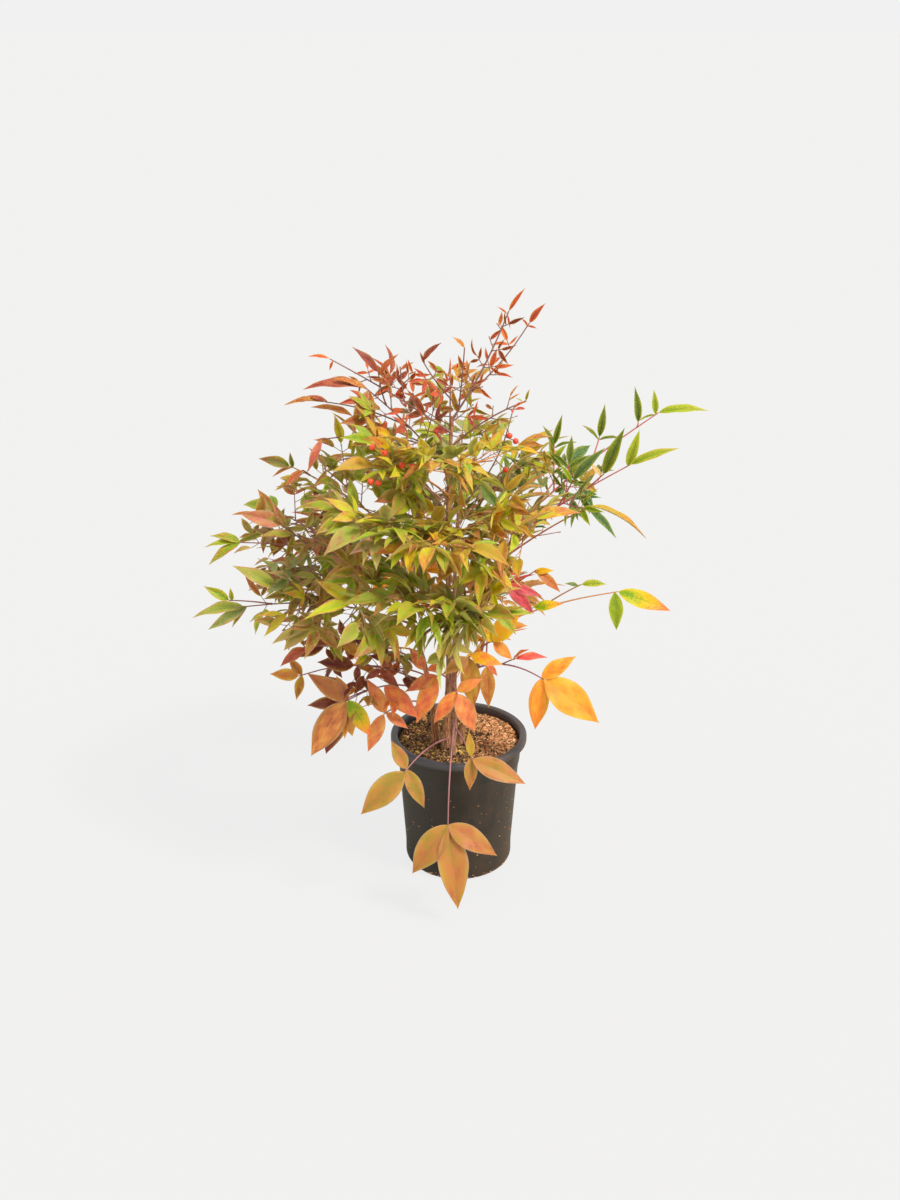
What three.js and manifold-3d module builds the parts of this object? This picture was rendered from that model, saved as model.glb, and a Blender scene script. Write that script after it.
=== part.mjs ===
// Heavenly bamboo (Nandina) in a nursery pot: brown canes that rise from one root, each carrying compound leaves.
// A compound leaf, called a frond here, is a bare stalk, pairs of side stalks, and leaflets in threes.
// Millimetres, +Z up, +X to the right, +Y away from the front. The origin is under the pot, on its axis.
import * as THREE from "three";
import { mergeVertices } from "three/addons/utils/BufferGeometryUtils.js";
import Module from "manifold-3d";

const wasm = await Module();
wasm.setup();

// ---- Driving dimensions ----

const CLEAR = 0.3; // between solids that rest on each other
const APART = 0.4; // the least gap between two fronds

const POT = {
  height: 172,
  rimRadius: 82.5,
  lipHeight: 8.5,
  shoulderRadius: 76, // of the wall under the lip
  heelRadius: 65.5, // of the wall at the bottom edge
  footRadius: 58, // of the flat underside
  heelHeight: 9, // of the slanted bottom edge
  bandDrop: 32, // from the rim down to the stacking band's lower edge
  bandStep: 1.2, // how far the band stands out
  wall: 2,
  floor: 3,
  sides: 32,
};

const SOIL = { drop: 6, crownRadius: 52, edgeDrop: 3 };

// Each cane rises from its foot to its top, which is moved sideways by lean.
const CANES = {
  tall: { foot: [-16, -27], lean: [8, 34], top: 566, radius: 4.2, tipRadius: 1.9 },
  left: { foot: [-28, -14], lean: [-49, 4], top: 442, radius: 3.8, tipRadius: 1.9 },
  right: { foot: [1, -13], lean: [66, 12], top: 446, radius: 3.7, tipRadius: 1.9 },
  front: { foot: [-8, -44], lean: [6, -24], top: 366, radius: 3.2, tipRadius: 1.9 },
  back: { foot: [-10, 10], lean: [12, 66], top: 456, radius: 3.7, tipRadius: 1.9 },
  low: { foot: [-28, 8], lean: [-46, 56], top: 372, radius: 3.4, tipRadius: 1.9 },
};
const CANE = { sides: 6, steps: 5, flare: 1.5, flareHeight: 0.1, bow: 5 };

// Stalks, twigs and leaflets all have three sides: two edges, and a ridge under them.
const STALK = { radius: 1.5, tipRadius: 0.95, steps: 4 };
const TWIG = { radius: 1, tipRadius: 0.9 };
const LEAFLET = {
  width: 0.32, // of its length
  widest: 0.42, // along its length
  keel: 0.03, // how deep the midrib hangs under the edges, of the length
  fold: 0.2, // how far the edges rise above the midrib, of the half width
  bend: 0.14, // how far the tip hangs, of the length, unless the leaflet's own direction is given
  arch: 0.3, // how far the middle of one whose direction is given rises, of the length, times four
  stagger: 4, // from the end of the twig back to the side leaflets
};
const SPRAY = {
  bare: 0.3, // of a stalk, before its first side stalks
  spread: 54, // degrees between a stalk and its side stalks
  open: 52, // degrees between the middle leaflet and each side leaflet
  sideLeaf: 0.84, // a side leaflet's length, of the middle one's
  shorten: 0.42, // how much shorter the last side stalks are than the first
  lift: 0.1, // how far the side stalks rise above the frond's plane
  tumble: 0.9, // how far they stray above and below it
  droop: 0.25, // how far leaflets hang below it
  roll: 62, // degrees that leaflets turn about their midrib, at most half of it each way
};
const GROUND = 4; // no leaf hangs lower
const FACING = 58; // degrees that leaves look up, those at the back to the back and the others to the front
const BACK_FROM = 100; // how far back a stalk that looks to the back ends

const LEAF_COLOURS = {
  olive: 0x8a8f3c,
  green: 0x7f9a34,
  lime: 0xb2b436,
  deepGreen: 0x5d7a42,
  bronze: 0x9c5a35,
  copper: 0xc0602f,
  flame: 0xd9502c,
  scarlet: 0xd8413c,
  salmon: 0xe8704a,
  amber: 0xf0962a,
  gold: 0xd8b02c,
  tan: 0xc98238,
  plum: 0x6b3538,
};

// A frond's stalk leaves its cane at height `at` and arches `to` the foot of its last three leaflets, its far end
// `sag` degrees lower than its start. It has `pairs` of side stalks, `side` mm long, that carry three leaflets each,
// and `leaf` is the length of a middle leaflet. Some fronds also give the length of the `last` middle leaflet, its
// heading, climb and roll (`tip`), and the same with a length for each leaflet beside it (`beside`). The width of
// these is `slim`, of their length.
// An arm leaves the stalk at a share of its length.
const FRONDS = [
  // The left side, from low to high.
  {
    name: "left_low", cane: "left", at: 322, to: [-244, -50, 360], sag: 34, pairs: 2, side: 44, leaf: 46, tint: "olive",
    last: 60, tip: [186, -11, -26], beside: [[197, -27, -52, 52], [203, -50, -36, 31]],
    arms: [
      { at: 0.84, to: [-263, -36, 362], sag: 8, leaf: 33, tip: [184, 33, -55], beside: [[180, 86, -86, 16]] },
      { at: 0.3, to: [-196, 36, 378], sag: 36, pairs: 2, side: 46, leaf: 48 },
    ],
  },
  {
    name: "left_mid", cane: "left", at: 382, to: [-254, -8, 422], sag: 30, pairs: 2, side: 42, leaf: 44, tint: "olive",
    last: 38, tip: [186, -7, -26], beside: [[168, 7, -25, 38], [195, -33, -34, 45]],
    arms: [
      { at: 0.32, to: [-220, 48, 442], sag: 22, pairs: 2, side: 44, leaf: 44 },
      { at: 0.55, to: [-201, -10, 445], sag: 0, leaf: 49, tip: [185, 17, -57], beside: [[171, 66, -66, 31]] },
      { at: 0.7, to: [-230, 6, 449], sag: 0, leaf: 31, tip: [184, 4, -34], beside: [[28, 82, 58, 32]] },
    ],
  },
  {
    name: "left_front", cane: "left", at: 356, to: [-195, -78, 363], sag: 34, pairs: 2, side: 46, leaf: 48, tint: "green",
    last: 32, tip: [187, -2, -33], beside: [[196, -42, -48, 38]],
    arms: [
      { at: 0.7, to: [-163, -92, 355], sag: 30, leaf: 50, tip: [187, -24, -35], beside: [[200, -39, -40, 45]] },
      { at: 0.55, to: [-204, -66, 392], sag: 20, leaf: 54, tip: [187, 29, -61], beside: [[214, -27, -27, 20]] },
    ],
  },
  {
    name: "left_high", cane: "left", at: 436, to: [-194, 30, 501], sag: 24, pairs: 2, side: 42, leaf: 44, tint: "green",
    last: 37, tip: [183, 16, -57], beside: [[180, 82, -85, 19], [194, -22, -19, 27]],
    arms: [
      { at: 0.3, to: [-150, -26, 516], sag: 20, pairs: 1, side: 40, leaf: 44 },
      { at: 0.82, to: [-177, 8, 503], sag: 10, leaf: 27, tip: [202, -37, -50] },
    ],
  },
  {
    name: "left_crest", cane: "tall", at: 505, to: [-103, -4, 601], sag: 14, pairs: 2, side: 44, leaf: 46, tint: "bronze",
    last: 69, tip: [183, -1, -19], beside: [[222, -63, -39, 52], [279, -78, 7, 49], [186, 20, -20, 41]],
    arms: [
      { at: 0.78, to: [-89, 2, 617], sag: -20, leaf: 41, tip: [188, 45, -54], beside: [[5, 47, 42, 33]] },
      { at: 0.5, to: [-150, 16, 580], sag: 24, leaf: 46, tip: [185, -4, -19], beside: [[171, 12, -19, 28]] },
      { at: 0.3, to: [-152, -16, 546], sag: 30, leaf: 40, tip: [216, -60, -48] },
      { at: 0.3, to: [-119, 8, 566], sag: 10, leaf: 48, tip: [185, 13, -19] },
    ],
  },
  {
    name: "left_sprig", cane: "tall", at: 548, to: [-143, 18, 628], sag: 8, pairs: 2, side: 18, leaf: 20, tint: "flame",
    last: 25, tip: [180, 5, -34], beside: [[210, -67, -44, 12]],
    arms: [{ at: 0.4, to: [-66, 24, 618], sag: -10, pairs: 1, side: 20, leaf: 26, last: 24 }],
  },
  // The young growth on top.
  {
    name: "plume", cane: "tall", at: 562, to: [53, 10, 682], sag: -14, pairs: 4, side: 15, leaf: 22, tint: "flame",
    last: 31, tip: [0, 55, 68], beside: [[180, 36, -47, 15], [310, -71, 34, 16]],
    arms: [
      {
        at: 0.25, to: [76, 20, 667], sag: -20, pairs: 2, side: 12, leaf: 21,
        last: 28, tip: [0, 52, 67], beside: [[335, -8, 44, 12], [210, 50, -86, 13]],
      },
      {
        at: 0.12, to: [-40, -14, 633], sag: -18, pairs: 2, side: 15, leaf: 22,
        last: 29, tip: [6, 44, 41], beside: [[180, 70, -76, 15]],
      },
      { at: 0.1, to: [5, -16, 648], sag: -10, pairs: 1, side: 16, leaf: 18, tip: [180, 42, -50] },
    ],
  },
  { name: "plume_back", cane: "tall", at: 520, to: [-10, 82, 604], sag: 24, pairs: 2, side: 34, leaf: 36, tint: "copper" },
  {
    name: "right_sprig", cane: "tall", at: 532, to: [73, -2, 586], sag: 24, pairs: 3, side: 17, leaf: 21, tint: "copper",
    last: 15, tip: [333, 73, 96], beside: [[207, 32, -50, 11]],
  },
  // The right side, from high to low.
  {
    name: "right_high", cane: "right", at: 442, to: [224, 26, 565], sag: 12, leaf: 56, tint: "deepGreen",
    tip: [354, 4, 41], beside: [[180, 82, -84, 30], [169, -25, -21, 22]],
    arms: [
      { at: 0.86, to: [202, 28, 553], sag: 0, leaf: 43, tip: [180, 82, -84] },
      { at: 0.55, to: [160, 38, 533], sag: -20, leaf: 40, tip: [0, 84, 86], beside: [[180, 42, -24, 27], [351, 7, 19, 27]] },
      { at: 0.28, to: [109, 44, 522], sag: -20, leaf: 38, tip: [0, 77, 80], beside: [[180, 63, -47, 31], [352, 17, 20, 28]] },
    ],
  },
  {
    name: "right_mid", cane: "right", at: 426, to: [192, -2, 513], sag: 10, pairs: 1, side: 34, leaf: 42, tint: "green",
    last: 57, tip: [354, 21, 51], beside: [[350, 75, 88, 45]],
    arms: [
      { at: 0.66, to: [161, -12, 505], sag: 0, leaf: 59, tip: [349, 69, 84], beside: [[202, 48, -85, 24]] },
      { at: 0.4, to: [127, -16, 500], sag: -10, leaf: 51, tip: [353, 49, 67], beside: [[187, 56, -71, 28], [337, -24, 31, 22]] },
    ],
  },
  {
    name: "right_low", cane: "right", at: 404, to: [145, -42, 478], sag: 10, leaf: 38, tint: "gold", slim: 0.22,
    last: 72, tip: [347, -28, 6], beside: [[317, -34, 24, 49]],
  },
  { name: "right_back", cane: "right", at: 380, to: [128, 74, 488], sag: 30, pairs: 3, side: 42, leaf: 43, tint: "green" },
  { name: "right_front", cane: "right", at: 372, to: [80, -86, 466], sag: 36, pairs: 3, side: 40, leaf: 42, tint: "lime" },
  {
    name: "right_thin", cane: "right", at: 312, to: [183, -20, 366], sag: 20, leaf: 65, tint: "amber", slim: 0.34,
    tip: [352, -19, 55], beside: [[299, -81, 27, 46]],
    arms: [
      { at: 0.42, to: [138, -42, 384], sag: 10, leaf: 29, tip: [356, 2, 33], beside: [[193, 13, -42, 18]] },
      { at: 0.15, to: [84, -50, 359], sag: 10, leaf: 35, tip: [350, 12, 53] },
    ],
  },
  // The lower leaves, in autumn colours, that hang round the pot's rim.
  {
    name: "low_amber", cane: "right", at: 262, to: [97, -70, 278], sag: 50, leaf: 81, tint: "amber", slim: 0.4,
    tip: [347, -36, 52], beside: [[14, 30, 50, 47], [241, -77, -25, 62]],
    arms: [{ at: 0.4, to: [65, -40, 290], sag: 10, leaf: 38, tip: [351, 6, 12], beside: [[334, 40, 17, 27]] }],
  },
  {
    name: "low_gold", cane: "right", at: 286, to: [39, -62, 322], sag: 20, pairs: 1, side: 30, leaf: 40, tint: "gold", slim: 0.4,
    last: 54, tip: [4, 55, 63], beside: [[345, -40, 52, 31], [180, 49, -63, 28]],
    arms: [{ at: 0.5, to: [31, -64, 292], sag: 40, leaf: 48, tip: [278, -71, 7], beside: [[342, -48, 52, 20]] }],
  },
  {
    name: "low_scarlet", cane: "right", at: 338, to: [52, -60, 391], sag: 30, pairs: 1, side: 26, leaf: 36, tint: "scarlet",
    last: 46, tip: [349, -45, 55], beside: [[357, -17, 52, 44]],
    arms: [
      { at: 0.7, to: [35, -58, 405], sag: 0, leaf: 32, tip: [353, -1, 51], beside: [[243, -75, -23, 26]] },
      { at: 0.4, to: [86, -44, 402], sag: 0, leaf: 38, tip: [348, -40, 53], beside: [[348, 9, 50, 24]] },
    ],
  },
  {
    name: "low_plum", cane: "left", at: 268, to: [-137, -40, 319], sag: 24, leaf: 47, tint: "plum", slim: 0.38,
    tip: [185, -10, -52], beside: [[126, 70, -30, 21], [224, -71, -38, 27]],
    arms: [
      { at: 0.5, to: [-157, -28, 300], sag: 30, leaf: 40, tip: [189, -16, -51] },
      { at: 0.66, to: [-172, -62, 314], sag: 20, leaf: 39, tip: [190, -33, -21] },
    ],
  },
  {
    name: "low_plum_inner", cane: "left", at: 252, to: [-91, -74, 293], sag: 24, leaf: 32, tint: "plum", slim: 0.42,
    tip: [346, -41, 52], beside: [[14, 50, 54, 26], [186, -33, -54, 23]],
    arms: [{ at: 0.6, to: [-120, -62, 292], sag: 10, leaf: 43, tip: [185, 8, -52], beside: [[249, -79, -18, 23], [10, 30, 51, 24]] }],
  },
  {
    name: "low_amber_left", cane: "left", at: 240, to: [-189, -20, 258], sag: 60, leaf: 35, tint: "amber", slim: 0.42,
    tip: [187, 8, -52], beside: [[160, 49, -51, 27], [218, -72, -44, 32]],
  },
  {
    name: "low_ochre", cane: "left", at: 226, to: [-129, -96, 263], sag: 60, leaf: 76, tint: "tan", slim: 0.42,
    tip: [197, -57, -55], beside: [[175, 35, -55, 56], [343, -57, 55, 51], [139, 55, -32, 31]],
    arms: [{ at: 0.66, to: [-136, -72, 250], sag: 20, leaf: 39, tip: [186, -4, -51], beside: [[200, -70, -58, 70], [328, -76, 50, 45]] }],
  },
  {
    name: "low_salmon", cane: "left", at: 212, to: [-86, -90, 244], sag: 50, leaf: 49, tint: "salmon", slim: 0.38,
    tip: [203, -65, -53], beside: [[165, 61, -58, 47], [347, -33, 51, 32]],
    arms: [{ at: 0.5, to: [-85, -86, 278], sag: 20, leaf: 54, tip: [345, -43, 50] }],
  },
  {
    name: "low_olive", cane: "left", at: 284, to: [-107, -70, 309], sag: 40, pairs: 1, side: 26, leaf: 36, tint: "lime", slim: 0.42,
    tip: [184, 29, -57], beside: [[14, 57, 57, 31], [201, -36, -48, 21]],
  },
  {
    name: "low_orange", cane: "front", at: 262, to: [-39, -88, 299], sag: 36, leaf: 32, tint: "salmon", slim: 0.4,
    tip: [167, 56, -57], beside: [[11, 15, 50, 21], [270, -68, 0, 16]],
    arms: [
      { at: 0.3, to: [-2, -98, 274], sag: 40, leaf: 52, tip: [354, -68, 69], beside: [[193, -55, -57, 46], [12, 24, 51, 33]] },
      { at: 0.5, to: [-26, -78, 286], sag: 10, leaf: 59, tip: [215, -62, -43], beside: [[192, -24, -51, 43]] },
      { at: 0.15, to: [12, -80, 313], sag: 10, leaf: 39, tip: [348, -11, 50], beside: [[208, -23, -44, 37], [296, -78, 23, 60]] },
    ],
  },
  {
    name: "rim_left", cane: "front", at: 188, to: [-62, -118, 185], sag: 50, leaf: 72, tint: "tan", slim: 0.4,
    tip: [193, -44, -53], beside: [[329, -63, 46, 50], [139, 50, -37, 38]],
  },
  {
    name: "rim_right", cane: "front", at: 200, to: [15, -104, 193], sag: 40, leaf: 68, tint: "tan", slim: 0.36,
    tip: [353, -25, 52], beside: [[259, -75, -10, 40], [101, 59, -9, 30]],
  },
  {
    name: "rim_hanging", cane: "front", at: 214, to: [-13, -132, 119], sag: 84, leaf: 100, tint: "tan", slim: 0.36,
    tip: [300, -76, 22], beside: [[191, -55, -58, 74], [352, -32, 53, 68]],
  },
  // The front of the crown.
  { name: "front_low", cane: "front", at: 346, to: [-42, -150, 402], sag: 40, pairs: 3, side: 50, leaf: 60, tint: "green" },
  { name: "front_low_left", cane: "front", at: 358, to: [-116, -128, 398], sag: 36, pairs: 3, side: 50, leaf: 56, tint: "green" },
  { name: "front_low_right", cane: "front", at: 330, to: [28, -128, 384], sag: 36, pairs: 3, side: 46, leaf: 56, tint: "lime" },
  { name: "front_mid", cane: "tall", at: 416, to: [-31, -150, 470], sag: 36, pairs: 3, side: 54, leaf: 62, tint: "lime" },
  { name: "front_mid_left", cane: "tall", at: 446, to: [-105, -122, 478], sag: 34, pairs: 3, side: 54, leaf: 56, tint: "lime" },
  { name: "front_mid_right", cane: "tall", at: 434, to: [50, -110, 462], sag: 34, pairs: 3, side: 52, leaf: 60, tint: "lime" },
  { name: "front_upper_left", cane: "tall", at: 478, to: [-92, -74, 534], sag: 34, pairs: 3, side: 48, leaf: 52, tint: "gold" },
  { name: "front_high", cane: "tall", at: 488, to: [-24, -104, 546], sag: 34, pairs: 3, side: 46, leaf: 50, tint: "gold" },
  { name: "front_high_right", cane: "tall", at: 497, to: [36, -62, 536], sag: 30, pairs: 2, side: 46, leaf: 48, tint: "green" },
  // The back of the crown.
  { name: "back_high", cane: "back", at: 450, to: [5, 185, 500], sag: 36, pairs: 3, side: 44, leaf: 50, tint: "green" },
  { name: "back_left", cane: "back", at: 430, to: [-122, 150, 474], sag: 36, pairs: 3, side: 52, leaf: 54, tint: "olive" },
  { name: "back_right", cane: "back", at: 418, to: [88, 150, 452], sag: 36, pairs: 3, side: 52, leaf: 54, tint: "green" },
  { name: "back_mid", cane: "back", at: 388, to: [-40, 210, 412], sag: 44, pairs: 3, side: 52, leaf: 56, tint: "olive" },
  { name: "back_mid_right", cane: "back", at: 366, to: [78, 188, 388], sag: 44, pairs: 2, side: 52, leaf: 58, tint: "green" },
  { name: "back_low_left", cane: "low", at: 354, to: [-166, 106, 380], sag: 44, pairs: 3, side: 50, leaf: 56, tint: "bronze" },
  { name: "back_low", cane: "low", at: 300, to: [-92, 166, 318], sag: 50, pairs: 2, side: 46, leaf: 62, tint: "amber" },
  { name: "back_low_right", cane: "back", at: 290, to: [62, 164, 300], sag: 50, pairs: 2, side: 46, leaf: 62, tint: "tan" },
];

// The bare fruiting stalks. Each of their berries hangs at a point, on a twig that leaves at a share of the stalk.
const BERRY_RADIUS = 3.9;
const PANICLES = [
  {
    name: "right", cane: "tall", at: 452, to: [58, -8, 575], sag: -44,
    berries: [[0.6, 51, -16, 511], [0.8, 62, -12, 543], [0.86, 55, -12, 549]],
  },
  {
    name: "left", cane: "tall", at: 458, to: [-82, -94, 560], sag: 10,
    berries: [
      [0.66, -50, -100, 541], [0.72, -61, -98, 542], [0.8, -94, -104, 526], [0.82, -86, -106, 525],
      [0.92, -79, -96, 555], [0.97, -92, -96, 561],
    ],
  },
];

// ---- Vectors and chance ----

const UP = new THREE.Vector3(0, 0, 1);
const { degToRad: radians, radToDeg: degrees, lerp } = THREE.MathUtils;
const vector = (x, y, z) => new THREE.Vector3(x, y, z);

/** Numbers from 0 to 1 that are the same on every run. */
function seeded(seed) {
  let state = seed * 7919 + 17;
  return () => {
    state = (state * 1664525 + 1013904223) % 4294967296;
    return state / 4294967296;
  };
}

/** A unit vector with this heading and climb, in degrees. */
function towards(heading, climb) {
  const [h, c] = [radians(heading), radians(climb)];
  return vector(Math.cos(c) * Math.cos(h), Math.cos(c) * Math.sin(h), Math.sin(c));
}

/** Directions along a line, to its left, and up from it. */
function frameAlong(along, reference = UP) {
  const left = reference.clone().cross(along).normalize();
  return { along: along.clone(), left, up: along.clone().cross(left).normalize() };
}

/** A frame turned about its own line. */
function rolled({ along, left, up }, angle) {
  const turned = left.clone().multiplyScalar(Math.cos(angle)).addScaledVector(up, Math.sin(angle));
  return { along, left: turned, up: along.clone().cross(turned) };
}

/** A direction in a frame, `turn` radians to the left of its line. */
const leftOf = ({ along, left }, turn) =>
  along.clone().multiplyScalar(Math.cos(turn)).addScaledVector(left, Math.sin(turn));

// ---- Solids ----

/** A copy of a geometry whose faces share their corners. */
function weldedCopy(geometry) {
  const bare = geometry.clone();
  bare.deleteAttribute("normal");
  bare.deleteAttribute("uv");
  return mergeVertices(bare, 1e-4);
}

/** A closed geometry as a solid that can be cut and joined. */
function solidOf(geometry) {
  const welded = weldedCopy(geometry);
  const made = new wasm.Mesh({
    numProp: 3,
    vertProperties: welded.attributes.position.array,
    triVerts: new Uint32Array(welded.index.array),
  });
  return new wasm.Manifold(made);
}

/** A solid as a named mesh of one colour. */
function meshOf(name, solid, colour, roughness = 0.6) {
  const found = solid.getMesh();
  const geometry = new THREE.BufferGeometry();
  geometry.setAttribute("position", new THREE.BufferAttribute(found.vertProperties, 3));
  geometry.setIndex(new THREE.BufferAttribute(found.triVerts, 1));
  geometry.computeVertexNormals();
  const material = new THREE.MeshStandardMaterial({ color: colour, roughness, metalness: 0 });
  const mesh = new THREE.Mesh(geometry, material);
  mesh.name = name;
  return mesh;
}

/** A ring of a round stem. */
const roundRing = (point, frame, radius) => ({
  point,
  frame,
  half: radius * Math.sin(Math.PI / 3),
  lift: radius / 2,
  drop: radius,
});

/** The widest ring and the tip of a leaflet that starts at `root`, its midrib arched, or bent down. */
function leafRings(root, frame, length, { arch = 0, bend = LEAFLET.bend, slim = LEAFLET.width } = {}) {
  const at = (share) =>
    root
      .clone()
      .addScaledVector(frame.along, length * share)
      .addScaledVector(frame.up, length * share * (arch * (1 - share) - bend * share));
  const half = (length * slim) / 2;
  const widest = { point: at(LEAFLET.widest), frame, half, lift: half * LEAFLET.fold, drop: length * LEAFLET.keel };
  return [widest, pointRing(at(1), frame)];
}

/** A ring that has shrunk to a point. */
const pointRing = (point, frame) => ({ point, frame, half: 0, lift: 0, drop: 0 });

/** A three-sided body between two points: a sphere of three sides whose rows are laid on its rings. */
function spindle(rings) {
  const steps = rings.length - 1;
  const geometry = new THREE.SphereGeometry(1, 3, steps);
  const position = geometry.getAttribute("position");
  for (let i = 0; i < position.count; i++) {
    const row = Math.round((Math.acos(THREE.MathUtils.clamp(position.getY(i), -1, 1)) / Math.PI) * steps);
    const { point, frame, half, lift, drop } = rings[row];
    const isRidge = position.getX(i) < 0;
    const placed = point.clone().addScaledVector(frame.up, isRidge ? -drop : lift);
    if (!isRidge) placed.addScaledVector(frame.left, -Math.sign(position.getZ(i)) * half);
    position.setXYZ(i, placed.x, placed.y, placed.z);
  }
  return geometry;
}

/** The pieces between a body's rings, as outlines, the last two marked as its blade. */
function outlinesOf(rings) {
  const pairs = rings.slice(1).map((end, i) => [rings[i], end]);
  const long = pairs.filter(([start, end]) => start.point.distanceTo(end.point) > 0);
  return long.map(([start, end], i) => {
    const closed = [pointRing(start.point, start.frame), start, end, pointRing(end.point, end.frame)];
    return { ...outlineOfGeometry(spindle(closed)), blade: i >= long.length - 2 };
  });
}

// ---- Keeping clear ----

/** The corners of a convex geometry, with the directions along which a gap to it may show. */
function outlineOfGeometry(geometry) {
  const welded = weldedCopy(geometry);
  const position = welded.getAttribute("position");
  const points = [];
  for (let i = 0; i < position.count; i++) points.push(vector().fromBufferAttribute(position, i));
  const [faces, edges] = [[], []];
  const addOnce = (list, direction) => {
    if (direction.lengthSq() < 1e-8) return;
    direction.normalize();
    if (!list.some((d) => Math.abs(d.dot(direction)) > 0.9999)) list.push(direction);
  };
  for (let i = 0; i < welded.index.count; i += 3) {
    const [a, b, c] = [0, 1, 2].map((k) => points[welded.index.getX(i + k)]);
    const sides = [b.clone().sub(a), c.clone().sub(b), a.clone().sub(c)];
    addOnce(faces, sides[0].clone().cross(sides[1]));
    sides.forEach((side) => addOnce(edges, side));
  }
  const centre = points.reduce((sum, p) => sum.add(p), vector(0, 0, 0)).divideScalar(points.length);
  return { points, faces, edges, centre, radius: Math.max(...points.map((p) => p.distanceTo(centre))) };
}

/** The least and greatest distance of some points along an axis. */
function spanAlong(points, axis) {
  let [low, high] = [Infinity, -Infinity];
  for (const point of points) {
    const distance = point.dot(axis);
    low = Math.min(low, distance);
    high = Math.max(high, distance);
  }
  return [low, high];
}

/** Whether two outlines are at least APART from each other. */
function areApart(a, b) {
  const between = b.centre.clone().sub(a.centre);
  if (between.length() > a.radius + b.radius + APART) return true;
  const opens = (axis) => {
    const [lowA, highA] = spanAlong(a.points, axis);
    const [lowB, highB] = spanAlong(b.points, axis);
    return lowB - highA >= APART || lowA - highB >= APART;
  };
  if (opens(between.normalize()) || a.faces.some(opens) || b.faces.some(opens)) return true;
  const axis = vector();
  return a.edges.some((edgeA) =>
    b.edges.some((edgeB) => axis.crossVectors(edgeA, edgeB).lengthSq() > 1e-6 && opens(axis.normalize())),
  );
}

const taken = []; // { owner, spray, outline } of everything placed so far

/**
 * Takes room for a spray of its owner, unless it comes too near to the ground or to what another owner has, or a
 * blade to another spray of its own. `except` is an owner that it may touch.
 */
function takeRoom(owner, spray, outlines, except) {
  const mayTouch = (outline, other) =>
    other.owner === except ||
    (other.owner === owner && (other.spray === spray || !(outline.blade || other.outline.blade)));
  const free = outlines.every(
    (outline) =>
      outline.points.every((point) => point.z > GROUND) &&
      taken.every((other) => mayTouch(outline, other) || areApart(other.outline, outline)),
  );
  if (free) outlines.forEach((outline) => taken.push({ owner, spray, outline }));
  return free;
}

// ---- Pot and soil ----

/** A solid of revolution about the pot's axis. */
function lathe(profile) {
  const points = profile.map(([r, z]) => new THREE.Vector2(r, z));
  const geometry = new THREE.LatheGeometry(points, POT.sides);
  geometry.rotateX(Math.PI / 2);
  return geometry;
}

/** The outer radius of the pot's wall at a height, under the lip. */
const wallRadius = (height) => {
  const share = (height - POT.heelHeight) / (POT.height - POT.lipHeight - POT.heelHeight);
  return lerp(POT.heelRadius, POT.shoulderRadius, share);
};

/** A shell with a flat underside, a slanted bottom edge, a stacking band and a thick lip. */
function potGeometry() {
  const band = POT.height - POT.bandDrop;
  const lip = POT.height - POT.lipHeight;
  return lathe([
    [0, 0],
    [POT.footRadius, 0],
    [POT.heelRadius, POT.heelHeight],
    [wallRadius(band) - POT.bandStep, band - 2],
    [wallRadius(band), band],
    [POT.shoulderRadius, lip],
    [POT.rimRadius - 1, lip],
    [POT.rimRadius, lip + 2],
    [POT.rimRadius, POT.height - 2],
    [POT.rimRadius - 1.5, POT.height],
    [POT.shoulderRadius, POT.height],
    [POT.shoulderRadius - POT.wall, POT.height - 2],
    [POT.heelRadius - POT.wall, POT.heelHeight],
    [POT.footRadius - POT.wall, POT.floor],
    [0, POT.floor],
  ]);
}

const soilTop = POT.height - SOIL.drop;

/** The root ball that fills the pot, flat round the canes and a little lower at the wall. */
function soilGeometry() {
  const inside = (height) => wallRadius(height) - POT.wall - POT.bandStep;
  return lathe([
    [0, POT.floor + CLEAR],
    [POT.footRadius - POT.wall - 1, POT.floor + CLEAR],
    [inside(POT.heelHeight + 2), POT.heelHeight + 2],
    [inside(soilTop - SOIL.edgeDrop), soilTop - SOIL.edgeDrop],
    [SOIL.crownRadius, soilTop],
    [0, soilTop],
  ]);
}

// ---- Canes ----

/** A point on a cane's centre line, from 0 at its foot to 1 at its top. */
function canePoint({ foot, lean, top }, share) {
  const swing = Math.pow(share, 1.2);
  const sway = Math.sin(share * Math.PI * 2) * CANE.bow;
  return vector(
    foot[0] + lean[0] * swing + sway * 0.5,
    foot[1] + lean[1] * swing + sway,
    lerp(soilTop + CLEAR, top, share),
  );
}

/** A cane's radius: a flared foot, then a steady taper. */
function caneRadius({ radius, tipRadius }, share) {
  const flare = 1 + (CANE.flare - 1) * Math.max(0, 1 - share / CANE.flareHeight);
  return lerp(radius, tipRadius, share) * flare;
}

/** A cane, or one piece of it, grown by `extra` all round: a cylinder whose level rings follow its line. */
function caneGeometry(cane, extra = 0, shares = caneShares) {
  const steps = shares.length - 1;
  const geometry = new THREE.CylinderGeometry(1, 1, 1, CANE.sides, steps).rotateX(Math.PI / 2);
  const position = geometry.getAttribute("position");
  for (let i = 0; i < position.count; i++) {
    const share = shares[Math.round((position.getZ(i) + 0.5) * steps)];
    const centre = canePoint(cane, share);
    const radius = caneRadius(cane, share) + extra;
    position.setXYZ(i, centre.x + position.getX(i) * radius, centre.y + position.getY(i) * radius, centre.z);
  }
  return geometry;
}

/** Shares of a cane's height at which it has a ring, one of them where its flare ends. */
const caneShares = [0];
for (let i = 0; i <= CANE.steps; i++) caneShares.push(lerp(CANE.flareHeight, 1, i / CANE.steps));

// ---- Fronds ----

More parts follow.
